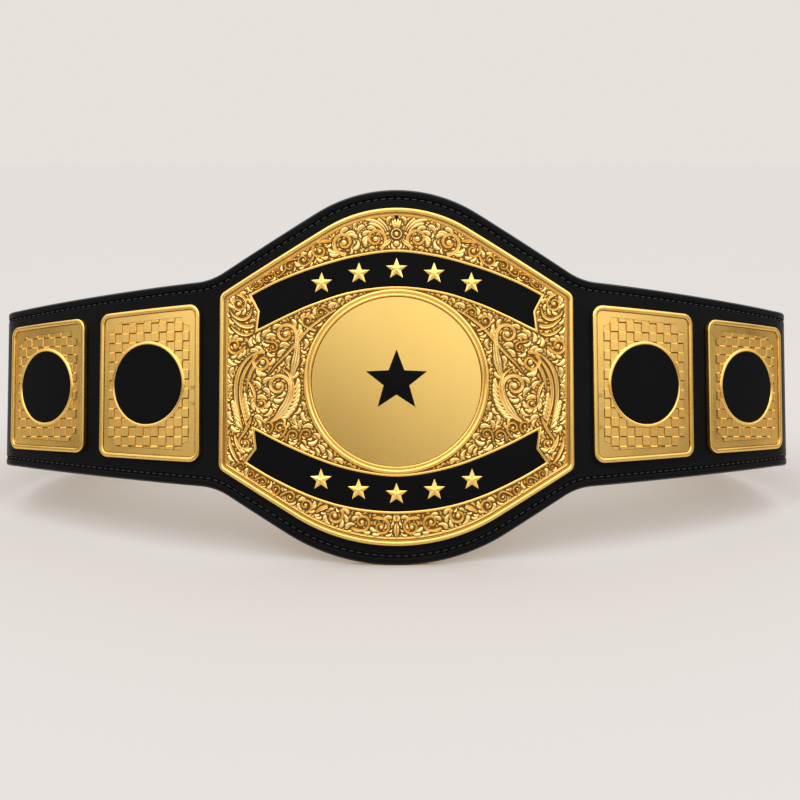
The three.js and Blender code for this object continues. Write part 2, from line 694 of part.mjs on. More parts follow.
// A socket is open to the outer face, with its cap behind
function snapSocket({ s, t }) {
  const seat = BACKING_BACK - FIT;
  const top = FIT + SNAP_SOCKET_HEIGHT;
  const bore = SNAP_BUTTON_RADIUS + FIT;
  return turned([
    [0, seat - SNAP_CAP_HEIGHT], [SNAP_CAP_RADIUS, seat - SNAP_CAP_HEIGHT / 2], [SNAP_CAP_RADIUS, seat],
    [SNAP_POST_RADIUS, seat], [SNAP_POST_RADIUS, FIT], [SNAP_SOCKET_RADIUS, FIT],
    [SNAP_SOCKET_RADIUS, top], [bore, top], [bore, FIT + SNAP_FLOOR], [0, FIT + SNAP_FLOOR],
  ], SNAP_SIDES, s, t);
}

// Plates

// A raised border inside an outline, its outer edge chamfered and its inner face sloping
function border(shapeAt, width, from, to, chamfer) {
  const ring = (grow, h) => shapeAt(grow).getPoints().map((p) => [p.x, p.y, h]);
  const outer = loft([ring(0, from), ring(0, to - chamfer), ring(-chamfer, to)]);
  const inside = chamfer - width;
  const inner = loft([ring(-width, from - OVERSHOOT), ring(inside, to), ring(inside, to + OVERSHOOT)]);
  return outer.subtract(inner);
}

function centrePlate() {
  const foot = CENTRE_FACE - ROOT;
  const seat = CENTRE_FACE - INLAY_SEAT;
  const above = CENTRE_FACE + RIM_HEIGHT + RELIEF_HEIGHT;
  const banners = [TOP_BANNER, BOTTOM_BANNER];
  const frames = banners.map((banner) => {
    const shapeAt = (grow) => bannerShape(banner, FRAME_WIDTH + grow);
    return border(shapeAt, FRAME_WIDTH, foot, CENTRE_FACE + FRAME_HEIGHT, FRAME_CHAMFER);
  });
  const bezel = raisedRing({
    inner: DISC_RADIUS, outer: BEZEL_RADIUS, face: CENTRE_FACE, height: BEZEL_HEIGHT, top: BEZEL_TOP,
  }, BEZEL_SIDES, 0, MEDALLION_T);
  const base = slab(centreShape(), PLATE_BACK, CENTRE_FACE);
  const rim = border(centreShape, RIM_WIDTH, foot, CENTRE_FACE + RIM_HEIGHT, RIM_CHAMFER);
  const field = slab(centreShape(-RIM_WIDTH), foot, above);
  const ornament = fuse([...scrollwork(), rosette(), leafDrop()]).intersect(field);
  const cleared = cut(fuse([base, rim, ornament]), [
    ...banners.map((banner) => slab(bannerShape(banner), seat, above)),
    post(DISC_RADIUS, seat, above, BEZEL_SIDES, 0, MEDALLION_T),
  ]);
  const screwHoles = centreScrews().flatMap(({ s, t }) => [screwHole({ s, t }), screwHole({ s: -s, t })]);
  return cut(fuse([cleared, ...frames, bezel]), screwHoles);
}

// The flower over the upper banner and the pointed leaf under the lower one
function rosette() {
  const foot = CENTRE_FACE - ROOT;
  const crest = CENTRE_FACE + BOSS_HEIGHT;
  const t = (lineHeight(TOP_BANNER.upper, 0) + FRAME_WIDTH + CROWN_TOP - RIM_WIDTH) / 2;
  const boss = turned([
    [0, foot], [BOSS_RADIUS, foot], [BOSS_RADIUS, (foot + crest) / 2], [BOSS_RADIUS / 2, crest], [0, crest],
  ], SNAP_SIDES, 0, t);
  return slab(starShape(ROSETTE_RADIUS, 0, t), foot, CENTRE_FACE + PETAL_HEIGHT).add(boss);
}

function leafDrop() {
  const banner = lineHeight([...BOTTOM_BANNER.lower].reverse(), 0) - FRAME_WIDTH;
  const t = (banner + RIM_WIDTH - CROWN_BOTTOM) / 2;
  const path = [1, 0.6, 0.2, -0.3, -1].map((share) => [0, t + share * LEAF_DROP_LENGTH / 2]);
  return rib(path, LEAF_DROP_WIDTH, CENTRE_FACE - ROOT, CENTRE_FACE + RELIEF_HEIGHT);
}

function bannerInlay(banner) {
  return slab(bannerShape(banner, -FIT), INLAY_TOP - INLAY_THICKNESS, INLAY_TOP);
}

function disc(radius, under, thickness, sides, s, t) {
  const top = under + thickness;
  return turned([
    [0, under], [radius, under], [radius, top - INLAY_CHAMFER], [radius - INLAY_CHAMFER, top], [0, top],
  ], sides, s, t);
}

function sidePlate(plate, side) {
  const foot = SIDE_FACE - ROOT;
  const s = side * plate.at;
  const shapeAt = (grow) => sideShape(plate, side, grow);
  const ring = raisedRing({
    inner: plate.disc, outer: plate.disc + RING_WIDTH, face: SIDE_FACE, height: RING_HEIGHT, top: RING_TOP,
  }, RING_SIDES, s, 0);
  const cast = fuse([
    slab(shapeAt(0), PLATE_BACK, SIDE_FACE),
    border(shapeAt, SIDE_RIM_WIDTH, foot, SIDE_FACE + SIDE_RIM_HEIGHT, RIM_CHAMFER),
    slab(panelShape(plate, side), foot, SIDE_FACE + PANEL_RAISE),
    ring,
  ]);
  const seat = post(plate.disc, SIDE_FACE - INLAY_SEAT, SIDE_FACE + RING_HEIGHT, RING_SIDES, s, 0);
  const screwHoles = plateScrews(plate).map((place) => screwHole({ s: side * place.s, t: place.t }));
  return cut(cast, [seat, ...screwHoles]);
}

// The whole belt, flat, as [name, solid, finish] rows

const SIDES = [{ word: 'right', side: 1 }, { word: 'left', side: -1 }];
const halfScrews = [
  ...centreScrews().map((place) => ({ ...place, name: `centre_${place.name}` })),
  ...[INNER, OUTER].flatMap((plate) => (
    plateScrews(plate).map((place) => ({ ...place, name: `${plate.name}_${place.name}` }))
  )),
];
const screws = SIDES.flatMap(({ word, side }) => (
  halfScrews.map(({ name, s, t }) => ({ name: `screw_${name}_${word}`, s: side * s, t }))
));
const studs = snapPlaces(1, 1);
const sockets = snapPlaces(-1, 2);
const strapHoles = [...screws.map(screwHole), ...[...studs, ...sockets].map(snapHole)];

const pieces = [
  ['strap_face', cut(leather(-FACE_LEATHER, 0), strapHoles), 'leather'],
  ['strap_backing', cut(leather(BACKING_BACK, BACKING_FACE), strapHoles), 'backing'],
  ['center_plate', centrePlate(), 'gold'],
  ['top_banner', bannerInlay(TOP_BANNER), 'enamel'],
  ['bottom_banner', bannerInlay(BOTTOM_BANNER), 'enamel'],
  [
    'medallion_disc',
    disc(DISC_RADIUS - FIT, INLAY_TOP - INLAY_THICKNESS, DISC_THICKNESS, BEZEL_SIDES, 0, MEDALLION_T),
    'satinGold',
  ],
  [
    'medallion_star',
    slab(starShape(EMBLEM_RADIUS, 0, MEDALLION_T), EMBLEM_FOOT, EMBLEM_FOOT + EMBLEM_THICKNESS),
    'enamel',
  ],
];
for (const [word, banner] of [['top', TOP_BANNER], ['bottom', BOTTOM_BANNER]]) {
  starPlaces(banner).forEach(([s, t], k) => {
    const star = slab(starShape(STAR_RADIUS, s, t), INLAY_TOP + FIT, INLAY_TOP + FIT + STAR_THICKNESS);
    pieces.push([`star_${word}_${k + 1}`, star, 'satinGold']);
  });
}
for (const { word, side } of SIDES) {
  for (const plate of [INNER, OUTER]) {
    pieces.push([`${plate.name}_plate_${word}`, sidePlate(plate, side), 'gold']);
    const under = SIDE_FACE - INLAY_SEAT + FIT;
    const inlay = disc(plate.disc - FIT, under, INLAY_THICKNESS, RING_SIDES, side * plate.at, 0);
    pieces.push([`${plate.name}_disc_${word}`, inlay, 'enamel']);
  }
}
screws.forEach((place) => pieces.push([place.name, screw(place), 'nickel']));
studs.forEach((place, k) => pieces.push([`snap_stud_${k + 1}`, snapStud(place), 'nickel']));
sockets.forEach((place, k) => pieces.push([`snap_socket_${k + 1}`, snapSocket(place), 'nickel']));

// Standing

const shaped = pieces.map(([name, solid, finish]) => ({ name, geometry: bent(solid), finish }));

const BACK_Y = planAt(STRAP_LENGTH / 2).y / 2; // halfway from the centre plate to the strap's ends

// Lowest height of the leather in front of and behind its middle, when it leans by an angle
function lowest(lean) {
  const heights = { front: Infinity, rear: Infinity };
  for (const { name, geometry } of shaped) {
    if (name.startsWith('strap')) {
      const at = geometry.attributes.position;
      for (let k = 0; k < at.count; k += 1) {
        const part = at.getY(k) < BACK_Y ? 'front' : 'rear';
        const height = at.getZ(k) * Math.cos(lean) - at.getY(k) * Math.sin(lean);
        heights[part] = Math.min(heights[part], height);
      }
    }
  }
  return heights;
}

// The lean at which the lobe and the two ends touch the floor together
function restingLean() {
  let [low, high] = [0, Math.PI / 4];
  for (let k = 0; k < LEAN_STEPS; k += 1) {
    const lean = (low + high) / 2;
    const { front, rear } = lowest(lean);
    [low, high] = front < rear ? [lean, high] : [low, lean];
  }
  return (low + high) / 2;
}

const belt = new THREE.Group();
const lean = restingLean();
const stand = new THREE.Matrix4().makeTranslation(0, 0, -lowest(lean).front - FLOOR_FLAT)
  .multiply(new THREE.Matrix4().makeRotationX(-lean));

// The leather is pressed flat where it stands
const FLOOR_SIZE = 3 * STRAP_LENGTH;
const ground = new THREE.BoxGeometry(FLOOR_SIZE, FLOOR_SIZE, FLOOR_SIZE);
const floor = solidOf(ground.translate(0, 0, -FLOOR_SIZE / 2));

for (const { name, geometry, finish } of shaped) {
  geometry.applyMatrix4(stand);
  if (name.startsWith('strap')) {
    const flattened = solidOf(geometry).subtract(floor).getMesh();
    geometry.setAttribute('position', new THREE.Float32BufferAttribute(flattened.vertProperties, 3));
    geometry.setIndex([...flattened.triVerts]);
  }
  geometry.computeVertexNormals();
  const mesh = new THREE.Mesh(geometry, new THREE.MeshStandardMaterial(FINISHES[finish]));
  mesh.name = name;
  belt.add(mesh);
}

const box = new THREE.Box3().setFromObject(belt);
const middle = box.getCenter(new THREE.Vector3());
belt.position.set(-middle.x, -middle.y, -box.min.z);
belt.updateMatrixWorld(true);

export default belt;
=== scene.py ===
"""Dresses a championship title belt: stitched black leather, cast gold plates and black inlays.

Every piece is drawn flat in millimetres, as the belt lies unrolled: s runs along the strap from
its middle, t runs up it and h runs out of its outer face. bend() then wraps it round the waist and
leans it back, as the solids stand.
"""
from math import atan2, cos, hypot, pi, radians, sin, sqrt, tan

import bpy
import numpy as np
from mathutils import Matrix, Vector
from mathutils.geometry import delaunay_2d_cdt


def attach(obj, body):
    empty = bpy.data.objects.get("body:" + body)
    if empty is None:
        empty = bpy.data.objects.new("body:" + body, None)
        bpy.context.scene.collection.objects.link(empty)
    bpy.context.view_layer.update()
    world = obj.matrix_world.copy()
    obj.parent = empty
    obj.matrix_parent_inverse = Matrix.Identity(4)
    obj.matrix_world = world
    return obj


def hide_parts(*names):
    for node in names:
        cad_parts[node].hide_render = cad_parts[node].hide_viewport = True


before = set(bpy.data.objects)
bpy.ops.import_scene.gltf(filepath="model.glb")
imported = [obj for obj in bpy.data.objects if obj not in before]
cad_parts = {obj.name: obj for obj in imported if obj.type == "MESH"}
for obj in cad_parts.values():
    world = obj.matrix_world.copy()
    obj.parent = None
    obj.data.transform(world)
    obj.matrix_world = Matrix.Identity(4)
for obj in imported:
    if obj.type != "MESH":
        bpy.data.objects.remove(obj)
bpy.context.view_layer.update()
MM = 0.001

# Sizes that the solids also have, in millimetres
STRAP_HALF = 650
FACE_LEATHER = 2.8
BACK_LEATHER = 2.2
FIT = 0.3
SIDE_HALF_HEIGHT = 76
ARM_HALF_HEIGHT = 63.5
END_HALF_HEIGHT = 54
END_CORNER = 14
LOBE_MARGIN = 14.3
LOBE_FILLET = 48
CENTRE_HALF_WIDTH = 130
SHOULDER = radians(31.1)
CROWN_TOP = (126.8, 100)  # height, radius
CROWN_BOTTOM = (117.5, 141)
CENTRE_CORNER = 7
FRAME_WIDTH = 2
PLATE_BACK = FIT
CENTRE_FACE = 3.5
FLOWER_T = 107.7
SIDE_FACE = 2.7
BACKING_FACE = -FACE_LEATHER - FIT
BACKING_BACK = BACKING_FACE - BACK_LEATHER
INLAY_SEAT = 1
INLAY_THICKNESS = 1.5
INLAY_TOP = CENTRE_FACE - INLAY_SEAT + FIT + INLAY_THICKNESS
TOP_BANNER = {
    "upper": [(0, 94.2), (29.5, 90.6), (55.2, 84), (72.2, 78.4), (89.3, 71.6), (105.5, 63.6)],
    "notch": (99.4, 52.2),
    "lower": [(100.9, 39.4), (78.4, 50), (59.7, 57.8), (32.1, 66.1), (0, 69.6)],
}
BOTTOM_BANNER = {
    "upper": [(0, -68.2), (25.5, -65.2), (49.9, -58.6), (78.7, -46.8), (102.8, -34.8)],
    "notch": (101.2, -48.2),
    "lower": [(108.4, -57.8), (88, -69.3), (60.1, -81.8), (32.3, -89.6), (0, -92.6)],
}
STARS = 5  # on each banner
STAR_SPACING = 27
STAR_RADIUS = 8
STAR_WAIST = 0.42
MEDALLION_T = 0.7
BEZEL_RADIUS = 67
DISC_RADIUS = 61.5
EMBLEM_RADIUS = 23
PLATE_GAP = 16.2
SIDE_CORNER = 8
SIDE_RIM = 4.4
PANEL_MARGIN = 4.2
PANEL_SCOOP = 6.5
RING_WIDTH = 2.4
INNER = {"name": "inner", "at": 190.05, "width": 87.7, "near": 58.3, "far": 54.4, "disc": 29.9}
OUTER = {"name": "outer", "at": 292.15, "width": 84.1, "near": 52, "far": 49, "disc": 28.2}
ARM_END = 334.2
HIP_BEND = 26
STIFF_END = 66
BENDS = [
    (0, 0), (CENTRE_HALF_WIDTH, 12.1), (INNER["at"], 23), (OUTER["at"], 31.8), (ARM_END, 37),
    (ARM_END + HIP_BEND, 79), (STRAP_HALF - STIFF_END, 167), (STRAP_HALF, 169),
]
LEAN = radians(14.4956)
STAND = (0, -137.5424, 127.831)  # where the strap's middle stands after the lean

# The bend round the waist


def plan_at(s):
    """Place in plan and yaw of the outer face at places along the strap"""
    reach = np.abs(s)
    x, y, yaw = np.zeros_like(reach), np.zeros_like(reach), np.zeros_like(reach)
    for (at, start), (end, stop) in zip(BENDS, BENDS[1:]):
        run = np.maximum(reach - at, 0)
        if end != BENDS[-1][0]:
            run = np.minimum(run, end - at)
        start, turn = radians(start), radians(stop - start)
        curve = turn / (end - at)
        turned = start + curve * run
        x += (np.sin(turned) - sin(start)) / curve
        y += (cos(start) - np.cos(turned)) / curve
        yaw += curve * run
    side = np.sign(s)
    return side * x, y, side * yaw


def bend(flat):
    """World places in metres of flat places [s, t, h] in millimetres"""
    flat = np.asarray(flat, float)
    x, y, yaw = plan_at(flat[:, 0])
    x = x + flat[:, 2] * np.sin(yaw)
    y = y - flat[:, 2] * np.cos(yaw)
    t = flat[:, 1]
    stood = [x, y * cos(LEAN) + t * sin(LEAN), t * cos(LEAN) - y * sin(LEAN)]
    return (np.stack(stood, 1) + STAND) * MM


# Outlines, as closed counterclockwise loops of [s, t]

SMALLEST_ARC = 0.3
MITRE_LIMIT = 0.35  # the least cosine between a mitre and a side's normal
STRAP_STATIONS = 425


def unit(rows):
    return rows / np.maximum(np.linalg.norm(rows, axis=1), 1e-9)[:, None]


def right_of(rows):
    """The rows turned a quarter clockwise"""
    return np.stack([rows[:, 1], -rows[:, 0]], 1)


def polar(reach, angles):
    return np.stack([reach * np.cos(angles), reach * np.sin(angles)], 1)


def spaced(loop, step):
    """The loop with points added so that none lie further apart than step"""
    points = []
    for (s, t), (next_s, next_t) in zip(loop, np.roll(loop, -1, axis=0)):
        count = max(1, round(hypot(next_s - s, next_t - t) / step))
        points += [(s + (next_s - s) * k / count, t + (next_t - t) * k / count) for k in range(count)]
    return np.array(points)


def rounded(corners, grow=0, step=2.0):
    """A loop through corners [s, t, radius], its sides moved outwards by grow"""
    corners = np.array(corners, float)
    along = unit(np.roll(corners[:, :2], -1, axis=0) - corners[:, :2])
    sides = corners[:, :2] + right_of(along) * grow
    loop = []
    for i, (_, _, radius) in enumerate(corners):
        before, after = along[i - 1], along[i]
        turn = before[0] * after[1] - before[1] * after[0]
        gap = sides[i] - sides[i - 1]
        corner = sides[i - 1] + before * (gap[0] * after[1] - gap[1] * after[0]) / turn
        angle = np.arcsin(turn)
        inward = np.sign(angle)
        arc = max(radius + inward * grow, SMALLEST_ARC)
        start = corner - before * arc * tan(abs(angle) / 2)
        centre = start + np.array([-before[1], before[0]]) * arc * inward
        count = max(5, round(abs(angle) * arc / step))
        for a in np.linspace(0, angle, count + 1):
            ds, dt = start - centre
            loop.append(centre + [ds * cos(a) - dt * sin(a), ds * sin(a) + dt * cos(a)])
    return spaced(np.array(loop), step)


def offset(loop, grow):
    """The loop moved outwards by grow, with mitred corners"""
    before = right_of(unit(loop - np.roll(loop, 1, axis=0)))
    after = right_of(unit(np.roll(loop, -1, axis=0) - loop))
    middle = unit(before + after)
    mitre = 1 / np.maximum((middle * before).sum(1), MITRE_LIMIT)
    return loop + middle * (mitre * grow)[:, None]


def circle(radius, s=0, t=0, sides=96):
    return polar(radius, np.arange(sides) * 2 * pi / sides) + (s, t)


def smooth(rows, step=2.0):
    """Points along a soft curve through rows, ends included"""
    rows = np.array(rows, float)
    padded = np.vstack([2 * rows[0] - rows[1], rows, 2 * rows[-1] - rows[-2]])
    points = []
    for a, b, c, d in zip(padded, padded[1:], padded[2:], padded[3:]):
        count = max(2, int(np.linalg.norm(c - b) / step) + 1)
        for u in np.arange(count) / count:
            points.append(0.5 * (2 * b + (c - a) * u + (2 * a - 5 * b + 4 * c - d) * u ** 2
                                 + (3 * b - 3 * c + d - a) * u ** 3))
    points.append(rows[-1])
    return np.array(points)


def peak(crown, radius):
    return crown + radius * (1 / cos(SHOULDER) - 1)


def centre_loop(grow=0, step=2.0):
    w, rise = CENTRE_HALF_WIDTH, CENTRE_HALF_WIDTH * tan(SHOULDER)
    top, bottom = peak(*CROWN_TOP), peak(*CROWN_BOTTOM)
    return rounded([
        (0, top, CROWN_TOP[1]), (-w, top - rise, CENTRE_CORNER), (-w, rise - bottom, CENTRE_CORNER),
        (0, -bottom, CROWN_BOTTOM[1]), (w, rise - bottom, CENTRE_CORNER), (w, top - rise, CENTRE_CORNER),
    ], grow, step)


def banner_loop(banner, grow=0):
    mirrored = [(-s, t) for s, t in banner["upper"][1:]]
    upper = smooth(banner["upper"][::-1] + mirrored)
    mirrored = [(-s, t) for s, t in banner["lower"][:-1]]
    lower = smooth(mirrored + banner["lower"][::-1])
    s, t = banner["notch"]
    return offset(np.vstack([lower, [(s, t)], upper, [(-s, t)]]), grow)


def side_loop(plate, side, grow=0):
    left, right = plate["at"] - plate["width"] / 2, plate["at"] + plate["width"] / 2
    near, far = plate["near"], plate["far"]
    corners = [(left, -near), (right, -far), (right, far), (left, near)]
    corners = [(side * s, t, SIDE_CORNER) for s, t in corners][::side]
    return rounded(corners, grow)


def panel_loop(plate, side):
    """The woven panel's edge: the plate's outline moved in, with its corners scooped out"""
    inset = SIDE_RIM + PANEL_MARGIN
    slope = (plate["near"] - plate["far"]) / plate["width"]
    reach = plate["width"] / 2 - inset
    high = (plate["near"] + plate["far"]) / 2 - inset
    loop = []
    for k, (du, dt) in enumerate([(-1, -1), (1, -1), (1, 1), (-1, 1)]):
        s, t = plate["at"] + du * reach, dt * (high - du * slope * reach)
        for turn in np.linspace(0, -90, 9):
            a = radians(k * 90 + 90 + turn)
            loop.append((side * (s + PANEL_SCOOP * cos(a)), t + PANEL_SCOOP * sin(a)))
    return spaced(np.array(loop[::side]), 3)


def peak_height(reach, crown, radius):
    if reach < radius * sin(SHOULDER):
        return crown - radius + sqrt(radius * radius - reach * reach)
    return peak(crown, radius) - tan(SHOULDER) * reach


def edge_height(s, crown, radius):
    """Height of the leather's edge: the lobe, its hollow fillet, then the tapering arm"""
    reach = abs(s)
    lobe = (crown + LOBE_MARGIN, radius + LOBE_MARGIN)
    arm_start = CENTRE_HALF_WIDTH + PLATE_GAP
    arm_slope = (SIDE_HALF_HEIGHT - ARM_HALF_HEIGHT) / (ARM_END - arm_start)
    arm_angle = atan2(arm_slope, 1)
    arm_middle = SIDE_HALF_HEIGHT + arm_slope * arm_start
    meet = (peak(*lobe) - arm_middle) / (tan(SHOULDER) - arm_slope)
    back = LOBE_FILLET * tan((SHOULDER - arm_angle) / 2)
    fillet_end = meet + back * cos(arm_angle)
    if reach < meet - back * cos(SHOULDER):
        return peak_height(reach, *lobe)
    if reach < fillet_end:
        middle = fillet_end + LOBE_FILLET * sin(arm_angle)
        top = arm_middle - arm_slope * fillet_end + LOBE_FILLET * cos(arm_angle)
        return top - sqrt(LOBE_FILLET ** 2 - (middle - reach) ** 2)
    if reach < ARM_END:
        return arm_middle - arm_slope * reach
    taper = (reach - ARM_END) / (STRAP_HALF - ARM_END)
    return ARM_HALF_HEIGHT + (END_HALF_HEIGHT - ARM_HALF_HEIGHT) * taper


def strap_loop():
    straight = STRAP_HALF - END_CORNER
    stations = np.linspace(-straight, straight, STRAP_STATIONS)
    lower = [(s, -edge_height(s, *CROWN_BOTTOM)) for s in stations]
    upper = [(s, edge_height(s, *CROWN_TOP)) for s in stations[::-1]]
    corner = edge_height(straight, *CROWN_TOP) - END_CORNER
    arcs = []
    for s, t, start in ((straight, -corner, -90), (straight, corner, 0), (-straight, corner, 90),
                        (-straight, -corner, 180)):
        angles = np.radians(start + np.linspace(0, 90, 9)[1:-1])
        arcs.append(polar(END_CORNER, angles) + (s, t))
    return spaced(np.vstack([lower, *arcs[:2], upper, *arcs[2:]]), 4)


def inside(points, loop):
    """Which points lie inside a loop"""
    s, t = points[:, 0][:, None], points[:, 1][:, None]
    (s0, t0), (s1, t1) = loop.T, np.roll(loop, -1, axis=0).T
    crosses = (t0 > t) != (t1 > t)
    with np.errstate(divide="ignore", invalid="ignore"):
        at = s0 + (t - t0) * (s1 - s0) / (t1 - t0)
    return (crosses & (s < at)).sum(1) % 2 == 1


# Forms

GRID_CLEAR = (0.35, 2.5)  # how far a fill's grid keeps from a loop: a share of its step, and the most


class Form:
    """Points [s, t, h] and faces of a piece in the making"""

    def __init__(self):
        self.points, self.faces, self.kinds, self.count = [], [], [], 0

    def add(self, points, faces, kind=0):
        self.points.append(np.asarray(points, float))
        self.faces += [[i + self.count for i in face] for face in faces]
        self.kinds += [kind] * len(faces)
        self.count += len(points)

    def loft(self, rings, kind=0):
        """Walls between rings of equally many points, counterclockwise seen from the last"""
        n = len(rings[0])
        faces = []
        for k in range(len(rings) - 1):
            for i in range(n):
                j = (i + 1) % n
                faces.append((k * n + i, k * n + j, k * n + n + j, k * n + n + i))
        self.add(np.vstack(rings), faces, kind)

    def moulding(self, loop, profile, kind=0):
        """A strip round a loop; its profile has rows of distance inwards and height"""
        self.loft([level(offset(loop, -inset), h) for inset, h in profile], kind)

    def fill(self, loops, h, step=6.0, kind=0, down=False):
        """A level face inside the first loop and outside the others"""
        points, faces = flat_fill(loops, step)
        faces = [face[::-1] for face in faces] if down else faces
        self.add(level(points, h), faces, kind)


def level(loop, h):
    return np.column_stack([loop, np.full(len(loop), float(h))])


def flat_fill(loops, step, extra=()):
    """Triangles inside the first loop and outside the others, with a grid of points between"""
    clear = min(GRID_CLEAR[0] * step, GRID_CLEAR[1])
    low, high = loops[0].min(0), loops[0].max(0)
    grid = np.stack(np.meshgrid(np.arange(low[0], high[0], step), np.arange(low[1], high[1], step)), -1)
    grid = grid.reshape(-1, 2) + step / 3
    grid = grid[inside(grid, offset(loops[0], -clear))]
    for hole in loops[1:]:
        grid = grid[~inside(grid, offset(hole, clear))]
    points, edges = [], []
    for loop in [*loops, *extra]:
        first = len(points)
        points += [Vector(point) for point in loop]
        edges += [(first + i, first + (i + 1) % len(loop)) for i in range(len(loop))]
    points += [Vector(point) for point in grid]
    found, _, triangles, *_ = delaunay_2d_cdt(points, edges, [], 0, 1e-5)
    found = np.array([tuple(point) for point in found])
    triangles = np.array([tuple(face) for face in triangles])
    middles = found[triangles].mean(1)
    keep = inside(middles, loops[0])
    for hole in loops[1:]:
        keep &= ~inside(middles, hole)
    return found, [tuple(int(i) for i in face) for face in triangles[keep]]


MOST_RISE = 4


def above(ground):
    """How far points stand above a ground, as dress() takes it"""
    return lambda flat: flat[:, 2] - ground


def dress(name, form, finishes, nodes=(), sharp=38, rise=None, floor=False):
    """A Form or a flat mesh as a bent piece, standing for its nodes"""
    if isinstance(form, Form):
        flat, faces, kinds = np.vstack(form.points), form.faces, form.kinds
    else:
        flat = np.empty(len(form.vertices) * 3)
        form.vertices.foreach_get("co", flat)
        flat = flat.reshape(-1, 3)
        faces = [tuple(face.vertices) for face in form.polygons]
        kinds = [0] * len(faces)
    places = bend(flat)
    if floor:
        places[:, 2] = np.maximum(places[:, 2], 0)
    mesh = bpy.data.meshes.new(name)
    mesh.from_pydata(places.tolist(), [], faces)
    for finish in finishes:
        mesh.materials.append(finish)
    mesh.polygons.foreach_set("material_index", kinds)
    corners = np.empty(len(mesh.loops), dtype=np.int32)
    mesh.loops.foreach_get("vertex_index", corners)
    unrolled = mesh.uv_layers.new(name="unrolled")
    unrolled.uv.foreach_set("vector", (flat[corners, :2] * MM).astype(np.float32).ravel())
    # The rise attribute is where cast_gold paints shade: low points get its darker colour
    if rise is not None:
        layer = mesh.attributes.new("rise", "FLOAT", "POINT")
        layer.data.foreach_set("value", np.clip(rise(flat), 0, MOST_RISE).astype(np.float32))
    mesh.shade_smooth()
    mesh.set_sharp_from_angle(angle=radians(sharp))
    piece = bpy.data.objects.new(name, mesh)
    bpy.context.scene.collection.objects.link(piece)
    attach(piece, "root")
    if nodes:
        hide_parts(*nodes)
    return piece


# Materials


class Tone:
    """A number in a material; sums on it add Math nodes"""

    def __init__(self, finish, socket):
        self.finish, self.socket = finish, socket

    def math(self, operation, *values, clamp=False):
        sockets = dict(enumerate(values))
        return self.finish.node("Math", sockets, operation=operation, use_clamp=clamp)

    def __add__(self, other):
        return self.math("ADD", self, other)

    def __sub__(self, other):
        return self.math("SUBTRACT", self, other)

    def __rsub__(self, other):
        return self.math("SUBTRACT", other, self)

    def __mul__(self, other):
        return self.math("MULTIPLY", self, other)

    __radd__, __rmul__ = __add__, __mul__

    def clamped(self):
        return self.math("ADD", self, 0, clamp=True)

    def between(self, low, high):
        """0 below low, 1 above high and soft between"""
        sockets = {"Value": self, "From Min": low, "From Max": high}
        return self.finish.node("MapRange", sockets, interpolation_type="SMOOTHSTEP")


class Shader:
    """A node tree in the making, round the shader that it feeds"""

    def __init__(self, tree, shader):
        self.tree, self.shader = tree, tree.nodes[shader]

    def node(self, kind, sockets=(), output=0, stops=None, **settings):
        node = self.tree.nodes.new("ShaderNode" + kind)
        for key, value in settings.items():
            setattr(node, key, value)
        if stops:
            for element, (at, colour) in zip(node.color_ramp.elements, stops):
                element.position, element.color = at, colour
        for key, value in dict(sockets).items():
            self.link(value, node.inputs[key])
        return Tone(self, node.outputs[output])

    def link(self, value, socket):
        if isinstance(value, Tone):
            self.tree.links.new(value.socket, socket)
        elif isinstance(value, tuple) and len(value) == 3 and socket.type == "RGBA":
            socket.default_value = (*value, 1)
        else:
            socket.default_value = value

    def feed(self, name, value):
        self.link(value, self.shader.inputs[name])

    def blend(self, share, low, high):
        sockets = {0: share, 6: low, 7: high}
        return self.node("Mix", sockets, output=2, data_type="RGBA")


class Finish(Shader):
    """A material in the making"""

    def __init__(self, name, **constants):
        self.material = bpy.data.materials.new(name)
        self.material.use_nodes = True
        super().__init__(self.material.node_tree, "Principled BSDF")
        for key, value in constants.items():
            self.feed(key.replace("_", " ").title().replace("Ior", "IOR"), value)

    def places(self):
        return self.node("TexCoord", output="Object")

    def unrolled(self, stretch):
        uv = self.node("UVMap", uv_map="unrolled")
        return self.node("Mapping", {"Vector": uv, "Scale": stretch})

    def noise(self, places, scale, detail=3.0, roughness=0.55):
        sockets = {"Vector": places, "Scale": scale, "Detail": detail, "Roughness": roughness}
        return self.node("TexNoise", sockets)

    def cells(self, places, scale, feature="F1", randomness=1.0):
        sockets = {"Vector": places, "Scale": scale, "Randomness": randomness}
        return self.node("TexVoronoi", sockets, output="Distance", feature=feature)

    def tint(self, share, low, high):
        self.feed("Base Color", self.blend(share, low, high))

    def bump(self, height, strength, distance):
        sockets = {"Height": height, "Strength": strength, "Distance": distance}
        self.feed("Normal", self.node("Bump", sockets))


def cast_gold(name, bright, hollow_shade, roughness, recess):
    """Plated casting: bright on its crests, darker and duller where it lies low. The darkening is painted
    shade in its hollows, with some patina there
    """
    finish = Finish(name, metallic=1.0)
    rise = finish.node("Attribute", output="Fac", attribute_name="rise")
    places = finish.places()
    cloud = finish.noise(places, 60, 2)
    high = (rise + (cloud - 0.5) * 0.25).between(*recess)
    # Painted shade: the colour turns darker where the casting lies low, as if in the shade of its hollows
    finish.tint(high, hollow_shade, bright)
    dull, gloss = roughness
    uneven = (cloud - 0.5) * 0.1
    finish.feed("Roughness", (dull + (gloss - dull) * high + uneven).clamped())
    grain = finish.noise(places, 1500, 2)
    finish.bump(grain, 0.12, 0.0004)
    return finish.material


def clouded(name, size, tones, roughness, grain=None, **constants):
    """A smooth surface, a little uneven in tone and gloss, with a faint grain"""
    finish = Finish(name, **constants)
    places = finish.places()
    cloud = finish.noise(places, size)
    finish.tint(cloud, *tones)
    least, spread = roughness
    finish.feed("Roughness", least + cloud * spread)
    if grain:
        scale, detail, distance = grain
        finish.bump(finish.noise(places, scale, detail), 0.05, distance)
    return finish.material


